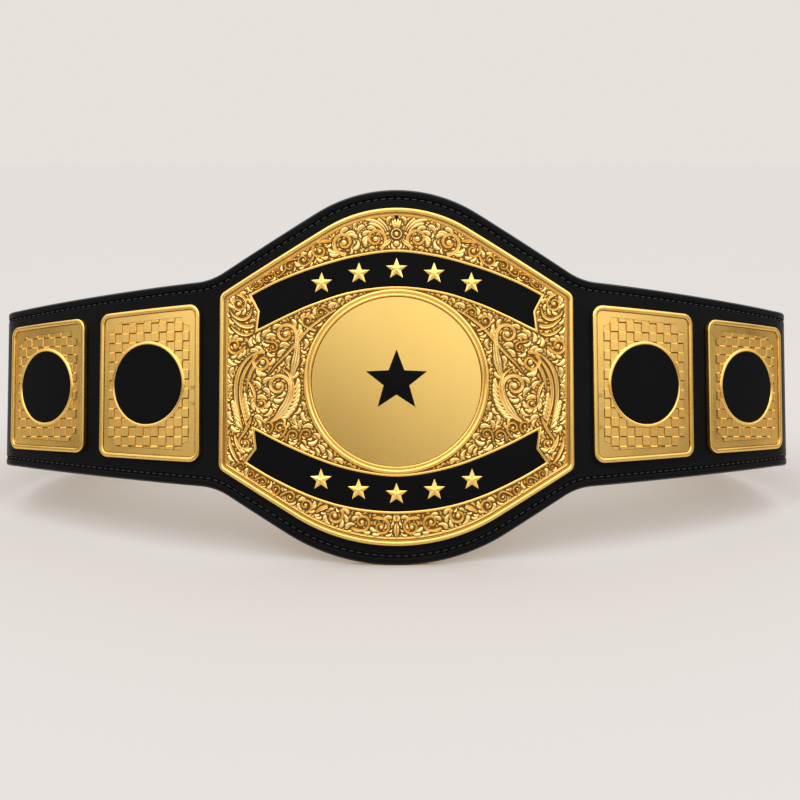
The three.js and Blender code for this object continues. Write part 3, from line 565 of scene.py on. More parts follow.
def brushed_gold():
    finish = Finish("brushed gold", metallic=1.0)
    strokes = finish.noise(finish.unrolled((1, 60, 1)), 90, 4, 0.7)
    broad = finish.noise(finish.unrolled((1, 0.25, 1)), 30, 2)
    finish.tint(broad, (0.87, 0.55, 0.145), (0.92, 0.605, 0.175))
    finish.feed("Roughness", 0.15 + strokes * 0.14)
    finish.bump(strokes, 0.08, 0.0003)
    return finish.material


def leather(name, colour, gloss, roughness, grain_size, depth):
    finish = Finish(name, specular_ior_level=gloss)
    places = finish.places()
    pores = finish.cells(places, grain_size, "DISTANCE_TO_EDGE")
    creases = finish.noise(places, grain_size * 0.3, 4)
    wear = finish.noise(places, 22, 3)
    lighter = tuple(channel * 1.9 + 0.002 for channel in colour)
    finish.tint(wear, colour, lighter)
    finish.feed("Roughness", roughness + (wear - 0.5) * 0.16 + (creases - 0.5) * 0.1)
    finish.bump(pores.between(0, 0.35) * 0.6 + creases * 0.6, depth, 0.0005)
    return finish.material


def thread():
    finish = Finish("waxed thread", roughness=0.42, specular_ior_level=0.3)
    twist = finish.node("TexWave", {"Vector": finish.places(), "Scale": 900.0, "Distortion": 2.0})
    finish.tint(twist, (0.006, 0.006, 0.006), (0.022, 0.021, 0.02))
    finish.bump(twist, 0.3, 0.0002)
    return finish.material


# Their dark colours are painted shade in the relief's hollows and the weave's grooves, with some patina
CAST = cast_gold("cast gold", (0.97, 0.68, 0.24), (0.19, 0.105, 0.026), (0.5, 0.34), (0.05, 0.7))
PANEL = cast_gold("woven gold", (0.93, 0.585, 0.16), (0.16, 0.08, 0.015), (0.42, 0.3), (0.4, 0.66))
POLISHED = clouded("polished gold", 35, ((0.89, 0.55, 0.135), (0.96, 0.62, 0.18)), (0.2, 0.14),
                   (500, 3, 0.0004), metallic=1.0)
# A darker copy of the polished gold for coves and grooves: painted shade
SHADED = clouded("shaded gold", 35, ((0.36, 0.2, 0.04), (0.46, 0.26, 0.06)), (0.3, 0.14),
                 (500, 3, 0.0004), metallic=1.0)
BRUSHED = brushed_gold()
FACE = leather("face leather", (0.0018, 0.0018, 0.002), 0.06, 0.4, 900, 0.22)
EDGE = leather("burnished leather", (0.002, 0.002, 0.0022), 0.45, 0.34, 1200, 0.1)
# A darker, unglossed copy of the face leather for the stitch channel: painted shade
SUNK = leather("shaded leather", (0.001, 0.001, 0.001), 0.0, 0.8, 900, 0.1)
BACKING = leather("backing leather", (0.009, 0.0085, 0.008), 0.2, 0.72, 1400, 0.3)
ENAMEL = clouded("black enamel", 40, ((0.0016, 0.0016, 0.0017), (0.003, 0.003, 0.0032)), (0.42, 0.12),
                 (900, 2, 0.0003), specular_ior_level=0.055)
THREAD = thread()
NICKEL = clouded("nickel plate", 120, ((0.5, 0.49, 0.46), (0.72, 0.71, 0.68)), (0.2, 0.2), metallic=1.0)

# Leather: profiles as rows of distance inwards and height

EDGE_FACE = [(0.4, -2.8), (0, -2.35), (0, -1.35), (0.3, -0.6), (0.8, -0.16), (1.3, 0.02)]
BORDER = [(1.3, 0.02), (2.4, 0.1), (3.6, 0.1), (4.6, 0), (5.3, -0.2)]
CHANNEL = [(5.3, -0.2), (5.7, -0.75), (7.4, -0.75), (7.8, -0.2)]  # the sunk line that the stitches lie in
LIP = [(7.8, -0.2), (8.1, 0.06), (8.6, 0.1), (9.6, 0)]
EDGE_BACK = [(8.6, 0), (7.8, 0.2), (7.2, 0.35), (6, 0.35), (5.2, 0.15), (1.3, 0), (0.4, 0.2), (0, 0.7),
             (0, 1.8), (0.4, 2.2)]
STITCH_INSET = 6.6
STITCH_PITCH = 5.7
STITCH_LENGTH = 4.1
STITCH_RADIUS = 0.55
STITCH_TURN = 0.06  # radians that each lies across the line
STITCH_FRONT = -0.72  # height of the outer stitches
STITCH_REAR = BACKING_BACK + 0.33


def strap():
    loop = strap_loop()
    inner = offset(loop, -LIP[-1][0])
    face = Form()
    under = [(LIP[-1][0], -FACE_LEATHER), EDGE_FACE[0]]
    for profile, kind in ((under, 0), (EDGE_FACE, 1), (BORDER, 0), (CHANNEL, 2), (LIP, 0)):
        face.moulding(loop, profile, kind)
    face.fill([inner], 0)
    face.fill([inner], -FACE_LEATHER, down=True)
    dress("strap_outer_leather", face, [FACE, EDGE, SUNK], ["strap_face"], 50, floor=True)
    back = Form()
    profile = [(inset, BACKING_BACK + h) for inset, h in EDGE_BACK]
    back.moulding(loop, [*profile, (LIP[-1][0], BACKING_FACE)])
    back.fill([inner], BACKING_FACE)
    back.fill([offset(loop, -EDGE_BACK[0][0])], BACKING_BACK, down=True)
    dress("strap_inner_leather", back, [BACKING], ["strap_backing"], 50, floor=True)


# What repeats


def scatter_tree():
    """A node tree that puts a form on every point, turned and sized by the point's own values"""
    tree = bpy.data.node_groups.new("set out forms", "GeometryNodeTree")
    inputs = {"Geometry": "Geometry", "Form": "Object", "Size": "Float", "Finish": "Material"}
    for name, kind in inputs.items():
        socket = tree.interface.new_socket(name, in_out="INPUT", socket_type="NodeSocket" + kind)
        inputs[name] = socket.identifier
    tree.interface.new_socket("Geometry", in_out="OUTPUT", socket_type="NodeSocketGeometry")
    nodes, links = tree.nodes, tree.links
    start = nodes.new("NodeGroupInput")
    end = nodes.new("NodeGroupOutput")
    values = {}
    for key in ("turn", "size"):
        values[key] = nodes.new("GeometryNodeInputNamedAttribute")
        values[key].data_type = "FLOAT"
        values[key].inputs["Name"].default_value = key
    info = nodes.new("GeometryNodeObjectInfo")
    heading = nodes.new("ShaderNodeCombineXYZ")
    scale = nodes.new("ShaderNodeMath")
    scale.operation = "MULTIPLY"
    put = nodes.new("GeometryNodeInstanceOnPoints")
    real = nodes.new("GeometryNodeRealizeInstances")
    paint = nodes.new("GeometryNodeSetMaterial")
    for source, out, target, into in (
        (start, "Geometry", put, "Points"),
        (start, "Form", info, "Object"),
        (info, "Geometry", put, "Instance"),
        (values["turn"], "Attribute", heading, "Z"),
        (heading, "Vector", put, "Rotation"),
        (values["size"], "Attribute", scale, 0),
        (start, "Size", scale, 1),
        (scale, 0, put, "Scale"),
        (put, "Instances", real, "Geometry"),
        (real, "Geometry", paint, "Geometry"),
        (start, "Finish", paint, "Material"),
        (paint, "Geometry", end, "Geometry"),
    ):
        links.new(source.outputs[out], target.inputs[into])
    return tree, inputs


SCATTER, SCATTER_INPUTS = scatter_tree()


def scattered(points, turns, sizes, form, finish):
    """The flat mesh of a form set out on flat points"""
    shape = bpy.data.meshes.new("form")
    shape.from_pydata(np.vstack(form.points).tolist(), [], form.faces)
    model = bpy.data.objects.new("form", shape)
    mesh = bpy.data.meshes.new("places")
    mesh.from_pydata(np.asarray(points, float).tolist(), [], [])
    for key, values in (("turn", turns), ("size", sizes)):
        layer = mesh.attributes.new(key, "FLOAT", "POINT")
        layer.data.foreach_set("value", np.asarray(values, np.float32))
    carrier = bpy.data.objects.new("places", mesh)
    for item in (model, carrier):
        bpy.context.scene.collection.objects.link(item)
    modifier = carrier.modifiers.new("set out", "NODES")
    modifier.node_group = SCATTER
    for key, value in (("Form", model), ("Size", 1.0), ("Finish", finish)):
        modifier[SCATTER_INPUTS[key]] = value
    graph = bpy.context.evaluated_depsgraph_get()
    result = bpy.data.meshes.new_from_object(carrier.evaluated_get(graph))
    carrier.modifiers.remove(modifier)
    for item in (model, carrier):
        bpy.data.objects.remove(item)
    return result


def stroke(path, widths, heights, section):
    """Rings of a raised stroke along a flat path: its section has rows of across and up shares"""
    path = np.asarray(path, float)
    normal = -right_of(unit(np.gradient(path, axis=0)))
    across, up = np.array(section).T
    flat = path[:, None, :] + normal[:, None, :] * (np.asarray(widths)[:, None] / 2 * across)[..., None]
    points = np.concatenate([flat, (np.asarray(heights)[:, None] * up)[..., None]], -1)
    rows, n = len(path), len(section)
    faces = []
    for k in range(rows - 1):
        for i in range(n - 1):
            faces.append((k * n + i + 1, k * n + i, k * n + n + i, k * n + n + i + 1))
    return points.reshape(-1, 3), faces


SMALL_ROUND = [(-1, -0.15), (-0.82, 0.66), (-0.4, 0.97), (0.4, 0.97), (0.82, 0.66), (1, -0.15)]
FLUTED = [(-1, -0.2), (-0.88, 0.6), (-0.55, 0.97), (-0.14, 0.84), (0, 0.36), (0.14, 0.84), (0.55, 0.97),
          (0.88, 0.6), (1, -0.2)]
TRIPLE = [(-1, -0.2), (-0.92, 0.6), (-0.7, 0.92), (-0.42, 0.8), (-0.34, 0.42), (-0.26, 0.86), (0, 1.02),
          (0.26, 0.86), (0.34, 0.42), (0.42, 0.8), (0.7, 0.92), (0.92, 0.6), (1, -0.2)]
LOBED = [(-1, -0.2), (-0.84, 0.7), (-0.45, 1), (0.25, 0.84), (0.8, 0.4), (1, -0.2)]


def stitch_form():
    """One stitch: a short crowned thread whose ends dip into the leather"""
    form = Form()
    share = np.linspace(-1, 1, 6)
    path = np.stack([share * STITCH_LENGTH / 2, np.zeros(6)], 1)
    lift = 1 - share ** 4
    widths = 2 * STITCH_RADIUS * (0.55 + 0.45 * lift)
    heights = 1.1 * STITCH_RADIUS * lift - 0.1
    form.add(*stroke(path, widths, heights, SMALL_ROUND))
    return form


def stitches():
    loop = offset(strap_loop(), -STITCH_INSET)
    steps = np.linalg.norm(np.roll(loop, -1, axis=0) - loop, axis=1)
    along = np.concatenate([[0], np.cumsum(steps)])
    count = round(along[-1] / STITCH_PITCH)
    at = np.arange(count) * along[-1] / count
    closed = np.vstack([loop, loop[:1]])
    s, t = np.interp(at, along, closed[:, 0]), np.interp(at, along, closed[:, 1])
    k = np.searchsorted(along, at, side="right") - 1
    heading = closed[k + 1] - closed[k]
    turns = np.arctan2(heading[:, 1], heading[:, 0]) + STITCH_TURN
    form = stitch_form()
    ones = np.ones(count)
    front = scattered(np.column_stack([s, t, ones * STITCH_FRONT]), turns, ones, form, THREAD)
    dress("stitches_outer", front, [THREAD], floor=True)
    for part in form.points:
        part[:, 2] *= -1
    form.faces = [face[::-1] for face in form.faces]
    rear = scattered(np.column_stack([s, t, ones * STITCH_REAR]), turns, ones, form, THREAD)
    dress("stitches_inner", rear, [THREAD], floor=True)


# Centre plate: profiles as rows of distance inwards and height

RIM = [(0.4, 0.3), (0, 0.7), (0, 4.2), (0.2, 4.85), (0.7, 5.28), (1.5, 5.4), (2.3, 5.36), (2.9, 5.15),
       (3.2, 4.7)]
COVE = [(3.2, 4.7), (3.3, 4.1), (3.7, 3.7), (4.3, 3.65), (4.8, 3.85)]
FILLET = [(4.8, 3.85), (5, 4.25), (5.3, 4.35), (5.6, 4.15), (5.7, 3.1), (6.1, 3), (6.3, 3.5)]
FRAME = [(0, 3.3), (0, 4.5), (0.3, 4.85), (0.8, 4.95), (1.3, 4.9), (1.7, 4.6), (2, 4.1), (2, 2.8)]
BEZEL = [(0, 3.2), (0, 4.4), (0.4, 5.1), (1, 5.55), (1.8, 5.68), (2.5, 5.5), (3, 4.95), (3.3, 4.75),
         (3.6, 4.9), (4.1, 5.35), (4.7, 5.5), (5.2, 5.3), (5.5, 4.9), (5.5, 2.7)]


def turned(form, profile, s=0, t=0, sides=96, kind=0):
    """A form turned about a point, its profile from outside in"""
    form.loft([level(circle(radius, s, t, sides), h) for radius, h in profile], kind)


def centre_plate():
    form = Form()
    loop = centre_loop()
    inner = offset(loop, -FILLET[-1][0])
    for profile, kind in ((RIM, 1), (COVE, 2), (FILLET, 1)):
        form.moulding(loop, profile, kind)
    frames = [banner_loop(banner, FRAME_WIDTH) for banner in (TOP_BANNER, BOTTOM_BANNER)]
    form.fill([inner, *frames, circle(BEZEL_RADIUS, 0, MEDALLION_T)], CENTRE_FACE, 5)
    form.fill([offset(loop, -RIM[0][0])], PLATE_BACK, 8, down=True)
    for frame_loop in frames:
        form.moulding(frame_loop, FRAME, kind=1)
    turned(form, [(BEZEL_RADIUS - inset, h) for inset, h in BEZEL], 0, MEDALLION_T, kind=1)
    dress("centre_casting", form, [CAST, POLISHED, SHADED], ["center_plate"], 45,
          above(CENTRE_FACE))


# Scrollwork. A volute row has its middle, outer radius, the direction from its middle to where it
# starts, its turns (negative is clockwise), then the length and bend of the stem that leads in
VOLUTES = [
    (15, 104, 7.6, 200, -1.15, 12, 60),
    (38, 101.5, 8.2, 300, 1.15, 20, -70),
    (55.5, 95.6, 6, 60, -1.1, 12, 40),
    (67.5, 89.2, 4.6, 240, 1.05, 10, -40),
    (77.5, 85, 3.6, 60, -1, 8, 30),
    (86.5, 80.4, 3.1, 240, 1, 8, -30),
    (94.8, 75.4, 2.7, 60, -1, 7, 30),
    (102.5, 71, 2.6, 240, 1, 7, -30),
    (10.9, -104, 6.2, 120, 1.1, 9, -40),
    (24.5, -100.4, 6, 250, -1.1, 10, 50),
    (44, -95.8, 7, 100, 1.05, 16, -50),
    (65, -88.4, 5, 250, -1.05, 11, 40),
    (76.4, -82.8, 4.2, 80, 1.05, 8, -30),
    (87, -77, 3.7, 250, -1, 8, 30),
    (96.5, -71.8, 3.3, 80, 1, 8, -30),
    (105.6, -66, 3, 250, -1, 7, 30),
    (112.8, -61, 2.7, 80, 1, 6, -30),
    (115.4, 58, 5.8, 160, 1.15, 9, -60),
    (118.2, 27.2, 6, 250, 1.1, 8, -30),
    (97.3, 15, 7.6, 60, -1.1, 6, 40),
    (80.2, 35.4, 7.8, 170, -1.15, 36, 34),
    (85.4, -2.2, 8.8, 175, -1.15, 32, 62),
    (98, -15, 5, 10, -1.05, 16, -50),
    (110, -44, 5.2, 40, -1, 18, -20),
    (84, -33, 4.8, 200, -1.05, 7, 30),
    (74.2, -38.4, 4, 30, 1.05, 8, -30),
    (92.8, -31.6, 3.8, 200, -1, 6, 30),
    (64.6, -37.5, 3.8, 30, 1, 7, -30),
    (64, 44.6, 4.4, 300, 1.05, 12, -20),
    (54.5, 50.6, 3.6, 120, -1, 10, 20),
    (89.4, 25.6, 3.8, 90, 1.1, 6, 20),
]
# Long ribs: a path of [s, t], a width and the length of the leaves that grow on it, which is
# negative where they grow on its other side and 0 where none do
RIBS = [
    ([(101, 23), (108.5, 17.5), (114.2, 10), (117, 0), (117, -12), (114.5, -24), (112, -34)], 3.4, 6.5),
    ([(99.5, 20), (106, 15), (111, 7), (113.3, -2), (113.2, -13), (110.8, -24), (108.5, -33)], 3.2, -8),
    ([(98.5, 17.5), (103.5, 12), (107.4, 4), (109, -5)], 3.0, -1),
    ([(92.8, 5.6), (86, 14), (78, 22), (71, 30), (63, 39), (52, 47.6), (40, 54.4), (29, 59)], 2.6, 5),
    ([(84, 11), (77, 5), (74.8, -5), (77, -15), (83.4, -23), (91.5, -29)], 3, -9.5),
    ([(98, 46), (103.8, 42), (108.6, 41), (114.5, 42.5), (120.6, 47.5)], 3.4, 0),
    ([(105, 55), (107.6, 48.6), (113, 46.4), (119, 49), (122, 53)], 2.8, 0),
    ([(103, 37), (109.5, 35), (116, 36.8), (121.4, 41.6)], 2.8, 0),
    ([(122, -38), (121, -46), (117.5, -54), (113.6, -59)], 2.8, 0),
    ([(118, -37), (116, -45), (112.4, -51.5)], 2.6, 0),
]
# Fans of flutes: where each starts, its heading and bend in degrees, its length, width and flutes
PLUMES = [
    (7.4, 109.4, 62, -88, 22, 7.6, 3),
    (4.2, 104.2, -66, 70, 8.5, 3.4, 2),
]
FLOWER_RING = 3.5
FLOWER_BALLS = ((0, 0, 1.9, 2.2), (0, -7, 2.4, 1.8), (6.6, 0.2, 1.3, 1.3))  # place, radius, height
PETALS = ((0.95, 6.8, 2.0), (2.9, 5.6, 2.1))  # place, length, width
SCROLL_HEIGHT = 1.9
RIB_HEIGHT = 1.7
LOBE_HEIGHT = 1.5
LEAF_HEIGHT = 1.35
BALL_HEIGHT = 1.85
BEAD_HEIGHT = 0.9
FLUTE_OVERLAP = 1.12  # widths of a fan's flutes, in their pitch
FLUTE_DROP = 0.1  # how much lower each of a fan's flutes is than the one before
HALF_TURN = np.radians(np.linspace(-90, 90, 13))
EYE_SHARE = 0.28  # of a volute's radius, where its stroke starts
STEPS_A_TURN = 22
STEM_STEP = 1.5
CURL_WIDTHS = (0.22, 0.38)  # of a volute's stroke, from its eye to its stem, in its radii
SWELL = 0.012  # how much a stem widens for each millimetre of its length
WIDEST = 0.78
TRIPLE_RADIUS = 6  # volutes from this radius up have three flutes
LEAFY_RADIUS = 4.4  # and from this radius up leaves
LOBE_LENGTH = 1.0  # of a volute's leaves, in its radii
LOBE_WIDTH = 0.6  # of its length
LOBE_WIDEST = 3.8
LOBE_SPACING = 0.83  # in widths
LOBE_CURL = 75
LOBE_FIT = 0.7  # share of a leaf's width that has to be free
LEAF_ANGLE = 58  # degrees between a stem and the leaves that grow from it
LEAF_SIZES = ((8.4, 4), (6.8, 3.3), (5.4, 2.7), (4.2, 2.2), (3.1, 1.7))  # length and width
LEAF_TURNS = (50, 90, 20, 130, 170)  # degrees from the nearest stem, in the order tried
LEAF_CURL = 105
LEAF_PITCH = 0.62  # in widths
LEAF_FIT = 0.86
BEAD_RADII = (0.95, 0.7)
BALL_SHARE = 0.28  # of a volute's radius
SHADE_LOZENGE = (1.3, 1.8)  # half width and half height of the black enamel lozenge over the flower, painted shade of a dark hole there
SHADE_LOZENGE_T = 119.6
SHADE_LOZENGE_TOP = 5.4
SEEN_WIDTH = 0.7  # share of a stroke's width that has to lie inside the field
HEAD_SHARE = 0.35  # of a stroke's length, where its round head ends
FIELD = ((0, 131), (-125, 130))  # reach of the plate's right half in s and in t
RIM_LAP = 0.4  # how far strokes reach under the rim
FRAME_CLEAR = 0.15
BEZEL_CLEAR = 0.2


def spiral(s, t, radius, start, turns, stem, stem_bend):
    """Points and widths of a volute from its eye out, then along its stem"""
    count = int(abs(turns) * STEPS_A_TURN)
    share = np.linspace(1, 0, count)
    angle = radians(start) + share * turns * 2 * pi
    reach = radius * (1 - (1 - EYE_SHARE) * share ** 0.9)
    points = [polar(reach, angle) + (s, t)]
    place, heading = points[0][-1], radians(start - np.sign(turns) * 90)
    steps = max(4, int(stem / STEM_STEP))
    for _ in range(steps):
        heading += radians(stem_bend) / steps
        place = place + np.array([cos(heading), sin(heading)]) * stem / steps
        points.append([place])
    swell = min(WIDEST, CURL_WIDTHS[1] + SWELL * stem)
    along = np.linspace(0, 1, steps)
    stem_widths = np.interp(along, [0, 0.6, 1], [CURL_WIDTHS[1], swell, 0.25])
    return np.vstack(points), radius * np.concatenate([np.linspace(*CURL_WIDTHS, count), stem_widths])


def taper(count, tail=0.25):
    """Width shares along a stroke: rounded at its head, full in the middle and thin at its tail"""
    share = np.linspace(0, 1, count)
    head = np.sqrt(np.clip(share / HEAD_SHARE, 0, 1))
    fall = np.clip((share - 0.5) / 0.5, 0, 1) ** 1.5
    return head * (1 - (1 - tail) * fall)


class Relief:
    """Strokes of the right half, with a raster of what they cover"""

    CELL = 0.35
    BLUR = 1.0  # how wide round a point its surroundings are taken
    LEVEL = 1.0  # what proud() gives a point at the height of its surroundings

    def __init__(self, loops, holes):
        low, high = loops[0].min(0) - 1, loops[0].max(0) + 1
        self.low = np.array([-1.0, low[1]])
        self.shape = np.ceil((high - self.low) / self.CELL).astype(int)
        middles = [self.low[k] + (np.arange(self.shape[k]) + 0.5) * self.CELL for k in (0, 1)]
        s, t = np.meshgrid(*middles, indexing="ij")
        cells = np.stack([s.ravel(), t.ravel()], 1)
        free = inside(cells, loops[0])
        for hole in holes:
            free &= ~inside(cells, hole)
        self.open = free.reshape(self.shape)
        self.free = self.open.copy()
        self.heights = np.zeros(self.shape)
        self.form, self.middle = Form(), Form()  # the right half, and what stands on the middle line
        self.guides = []

    def disc(self, place, radius):
        at = (np.asarray(place) - self.low) / self.CELL
        reach = max(radius / self.CELL, 0.75)
        low = np.maximum(np.floor(at - reach).astype(int), 0)
        high = np.minimum(np.ceil(at + reach).astype(int) + 1, self.shape)
        s, t = np.ogrid[low[0]:high[0], low[1]:high[1]]
        near = (s + 0.5 - at[0]) ** 2 + (t + 0.5 - at[1]) ** 2 <= reach * reach
        return (slice(low[0], high[0]), slice(low[1], high[1])), near

    def fits(self, path, widths, gap=0.0, field=None):
        field = self.free if field is None else field
        for place, width in zip(path, widths):
            window, near = self.disc(place, width / 2 + gap)
            if not near.any() or not field[window][near].all():
                return False
        return True

    def cover(self, path, widths, heights, gap):
        for place, width, height in zip(path, widths, heights):
            window, near = self.disc(place, width / 2 + gap)
            self.free[window][near] = False
            self.heights[window][near] = np.maximum(self.heights[window][near], 0.85 * height)

    def proud(self, flat):
        """How far points stand out of what lies round them, as dress() takes it"""
        mean = self.heights
        reach = int(2.5 * self.BLUR / self.CELL)
        weights = {k: np.exp(-0.5 * (k * self.CELL / self.BLUR) ** 2) for k in range(-reach, reach + 1)}
        total = sum(weights.values())
        for axis in (0, 1):
            mean = sum(np.roll(mean, k, axis) * weight for k, weight in weights.items()) / total
        cells = (np.column_stack([np.abs(flat[:, 0]), flat[:, 1]]) - self.low) / self.CELL
        s, t = np.clip(cells.astype(int), 0, self.shape - 1).T
        return self.LEVEL + flat[:, 2] - CENTRE_FACE - mean[s, t]

    def draw(self, path, widths, height, gap=0.25, section=SMALL_ROUND):
        path, widths = np.asarray(path, float), np.asarray(widths, float)
        places = zip(path[:, None], widths[:, None] * SEEN_WIDTH)
        inside_rows = [self.fits(place, width, field=self.open) for place, width in places]
        runs, start = [], None
        for i, good in enumerate([*inside_rows, False]):
            if good and start is None:
                start = i
            if not good and start is not None:
                runs.append((start, i))
                start = None
        for first, last in runs:
            if last - first < 3:
                continue
            heights = height * (0.55 + 0.45 * widths[first:last] / widths.max())
            points, faces = stroke(path[first:last], widths[first:last], heights, section)
            points[:, 2] += CENTRE_FACE
            (self.middle if not path[:, 0].any() else self.form).add(points, faces)
            self.cover(path[first:last], widths[first:last], heights, gap)

    def ball(self, place, radius, height, gap=0.2):
        if not self.fits([place], [radius * 1.6], field=self.open):
            return
        rings = [(1, -0.15), (0.92, 0.4), (0.65, 0.78), (0.3, 0.97), (0.02, 1)]
        profile = [(radius * share, CENTRE_FACE + height * up) for share, up in rings]
        turned(self.middle if place[0] == 0 else self.form, profile, *place, sides=10)
        self.cover([place], [2 * radius], [height], gap)


def comma(place, heading, length, width, curl, count=8):
    """Path and widths of a teardrop leaf that starts at its stem and curls to a round tip"""
    points, angle = [np.asarray(place, float)], heading
    for k in range(count - 1):
        angle += radians(curl) * (0.4 + 1.2 * k / (count - 2)) / (count - 1)
        points.append(points[-1] + np.array([cos(angle), sin(angle)]) * length / (count - 1))
    share = np.linspace(0, 1, count)
    widths = width * np.interp(share, [0, 0.3, 0.65, 0.88, 1], [0.2, 0.66, 1, 0.8, 0.3])
    return np.array(points), widths


def lobed(side):
    """A leaf's section, steep on the side that it curls from"""
    return LOBED if side > 0 else [(-across, up) for across, up in LOBED[::-1]]


def grow_lobes(relief, path, length, side):
    """Leaves that overlap along one side of a stroke"""
    outer = path[len(path) // 3:]
    run = np.linalg.norm(np.diff(outer, axis=0), axis=1).sum()
    width = min(length * LOBE_WIDTH, LOBE_WIDEST)
    lobes = []
    for k in np.linspace(len(outer) - 2, 2, max(2, round(run / (width * LOBE_SPACING)))).astype(int):
        heading = atan2(*(outer[k - 1] - outer[k])[::-1]) - side * radians(LEAF_ANGLE)
        points, widths = comma(outer[k], heading, length, width, side * LOBE_CURL)
        if relief.fits(points[5:], widths[5:] * LOBE_FIT):
            lobes.append((points, widths))
    for points, widths in lobes:
        relief.draw(points, widths, LOBE_HEIGHT, 0.1, lobed(side))


def plume(relief, s, t, heading, turn, length, width, flutes):
    """Flutes side by side that spread from one root and end in round tips"""
    count = 12
    share = np.linspace(0, 1, count)
    angles = radians(heading) + radians(turn) * share
    steps = polar(1, angles) * length / (count - 1)
    spine = np.array([s, t]) + np.vstack([[0, 0], np.cumsum(steps[:-1], axis=0)])
    across = np.stack([-np.sin(angles), np.cos(angles)], 1)
    spread = np.interp(share, [0, 0.5, 1], [0.6, 1, 1.15])
    outwards = -np.sign(turn)
    for k in range(flutes):
        place = (k + 0.5) / flutes - 0.5
        reach = 1 - 0.13 * (flutes - 1 - k)
        last = max(5, round(count * reach))
        points = (spine + across * (spread * width * place * outwards)[:, None])[:last]
        ends = np.interp(np.linspace(0, 1, last), [0, 0.5, 0.85, 1], [0.5, 1, 1, 0.4])
        widths = width / flutes * FLUTE_OVERLAP * spread[:last] * ends
        relief.draw(points, widths, SCROLL_HEIGHT - FLUTE_DROP * k, 0.1)
    relief.guides.append(spine)


def draw_scrolls(relief):
    for row in PLUMES:
        plume(relief, *row)
    leafy = []
    for row in VOLUTES:
        place, radius, turns = row[:2], row[2], row[4]
        path, widths = spiral(*row)
        section = TRIPLE if radius >= TRIPLE_RADIUS else FLUTED
        relief.draw(path, widths, SCROLL_HEIGHT, section=section)
        relief.ball(place, radius * BALL_SHARE, BALL_HEIGHT)
        relief.guides.append(path)
        if radius >= LEAFY_RADIUS:
            leafy.append((path, radius * LOBE_LENGTH, np.sign(turns)))
    for path, width, leaf in RIBS:
        path = smooth(path, 1.5)
        relief.draw(path, width * taper(len(path)), RIB_HEIGHT, section=FLUTED)
        relief.guides.append(path)
        if leaf:
            leafy.append((path, abs(leaf), np.sign(leaf)))
    for path, length, side in leafy:
        grow_lobes(relief, path, length, side)


def field_grid(step):
    """Places in rows and columns over the plate's right half"""
    rows = [np.arange(*reach, step) for reach in FIELD]
    return np.stack(np.meshgrid(*rows), -1).reshape(-1, 2)


def fill_leaves(relief, rng):
    """Small leaves in what is left, growing away from the nearest stem"""
    guides = np.vstack(relief.guides)
    tangents = np.vstack([np.gradient(path, axis=0) for path in relief.guides])
    for length, width in LEAF_SIZES:
        step = width * LEAF_PITCH
        grid = field_grid(step)
        grid += rng.uniform(-0.3, 0.3, grid.shape) * step
        for place in grid[np.argsort(grid[:, 0] * 0.2 + rng.uniform(0, 6, len(grid)))]:
            if not relief.fits([place], [width * 0.45]):
                continue
            near = np.argmin(((guides - place) ** 2).sum(1))
            away = place - guides[near]
            tangent = tangents[near]
            side = np.sign(tangent[0] * away[1] - tangent[1] * away[0]) or 1
            stem = atan2(tangent[1], tangent[0])
            for turn in LEAF_TURNS:
                heading = stem + side * radians(turn)
                points, sizes = comma(place, heading, length, width, side * LEAF_CURL)
                if relief.fits(points[1:], sizes[1:] * LEAF_FIT):
                    relief.draw(points, sizes, LEAF_HEIGHT, 0, lobed(side))
                    break


def fill_beads(relief, rng):
    """Small beads in the gaps that no leaf fits"""
    for radius in BEAD_RADII:
        grid = field_grid(radius)
        for place in grid[rng.permutation(len(grid))]:
            if relief.fits([place], [2 * radius], 0.05):
                relief.ball(place, radius, BEAD_HEIGHT, gap=0.25)


def flower(relief):
    """The ringed flower and upright leaf over the upper banner, and the leaf under the lower one"""
    half_ring = polar(FLOWER_RING, HALF_TURN) + (0, FLOWER_T)
    relief.draw(half_ring, np.full(len(half_ring), 1.3), SCROLL_HEIGHT)
    for s, lift, radius, height in FLOWER_BALLS:
        relief.ball((s, FLOWER_T + lift), radius, height)
    for s, top, width in PETALS:
        points = smooth([(s * 0.5, FLOWER_T + 4), (s * 0.8, FLOWER_T + 7), (s, FLOWER_T + 4 + top)], 1)
        relief.draw(points, width * taper(len(points), tail=0.6), SCROLL_HEIGHT)
    points = smooth([(0, -100.5), (0, -106), (0, -112)], 1)
    relief.draw(points, 4.4 * taper(len(points), tail=0.15), 1.8, section=FLUTED)


def scrollwork():
    loop = offset(centre_loop(), RIM_LAP - FILLET[-1][0])
    holes = [banner_loop(banner, FRAME_WIDTH + FRAME_CLEAR) for banner in (TOP_BANNER, BOTTOM_BANNER)]
    holes.append(circle(BEZEL_RADIUS + BEZEL_CLEAR, 0, MEDALLION_T))
    relief = Relief([loop], holes)
    rng = np.random.default_rng(7)
    flower(relief)
    draw_scrolls(relief)
    fill_leaves(relief, rng)
    fill_beads(relief, rng)
    half, whole = relief.form, relief.middle
    points = np.vstack(half.points)
    whole.add(points, half.faces)
    whole.add(points * (-1, 1, 1), [face[::-1] for face in half.faces])
    # A black enamel lozenge over the flower: painted shade where a dark hole is
    half_width, half_height = SHADE_LOZENGE
    lozenge_corners = np.array([(-half_width, 0), (0, -half_height), (half_width, 0), (0, half_height)]) + (0, SHADE_LOZENGE_T)
    whole.loft([level(lozenge_corners, CENTRE_FACE), level(lozenge_corners, SHADE_LOZENGE_TOP)], 1)
    whole.add(level(lozenge_corners, SHADE_LOZENGE_TOP), [(0, 1, 2, 3)], 1)
    dress("scrollwork", whole, [CAST, ENAMEL], sharp=60, rise=relief.proud)


# Inlays, stars and the medallion

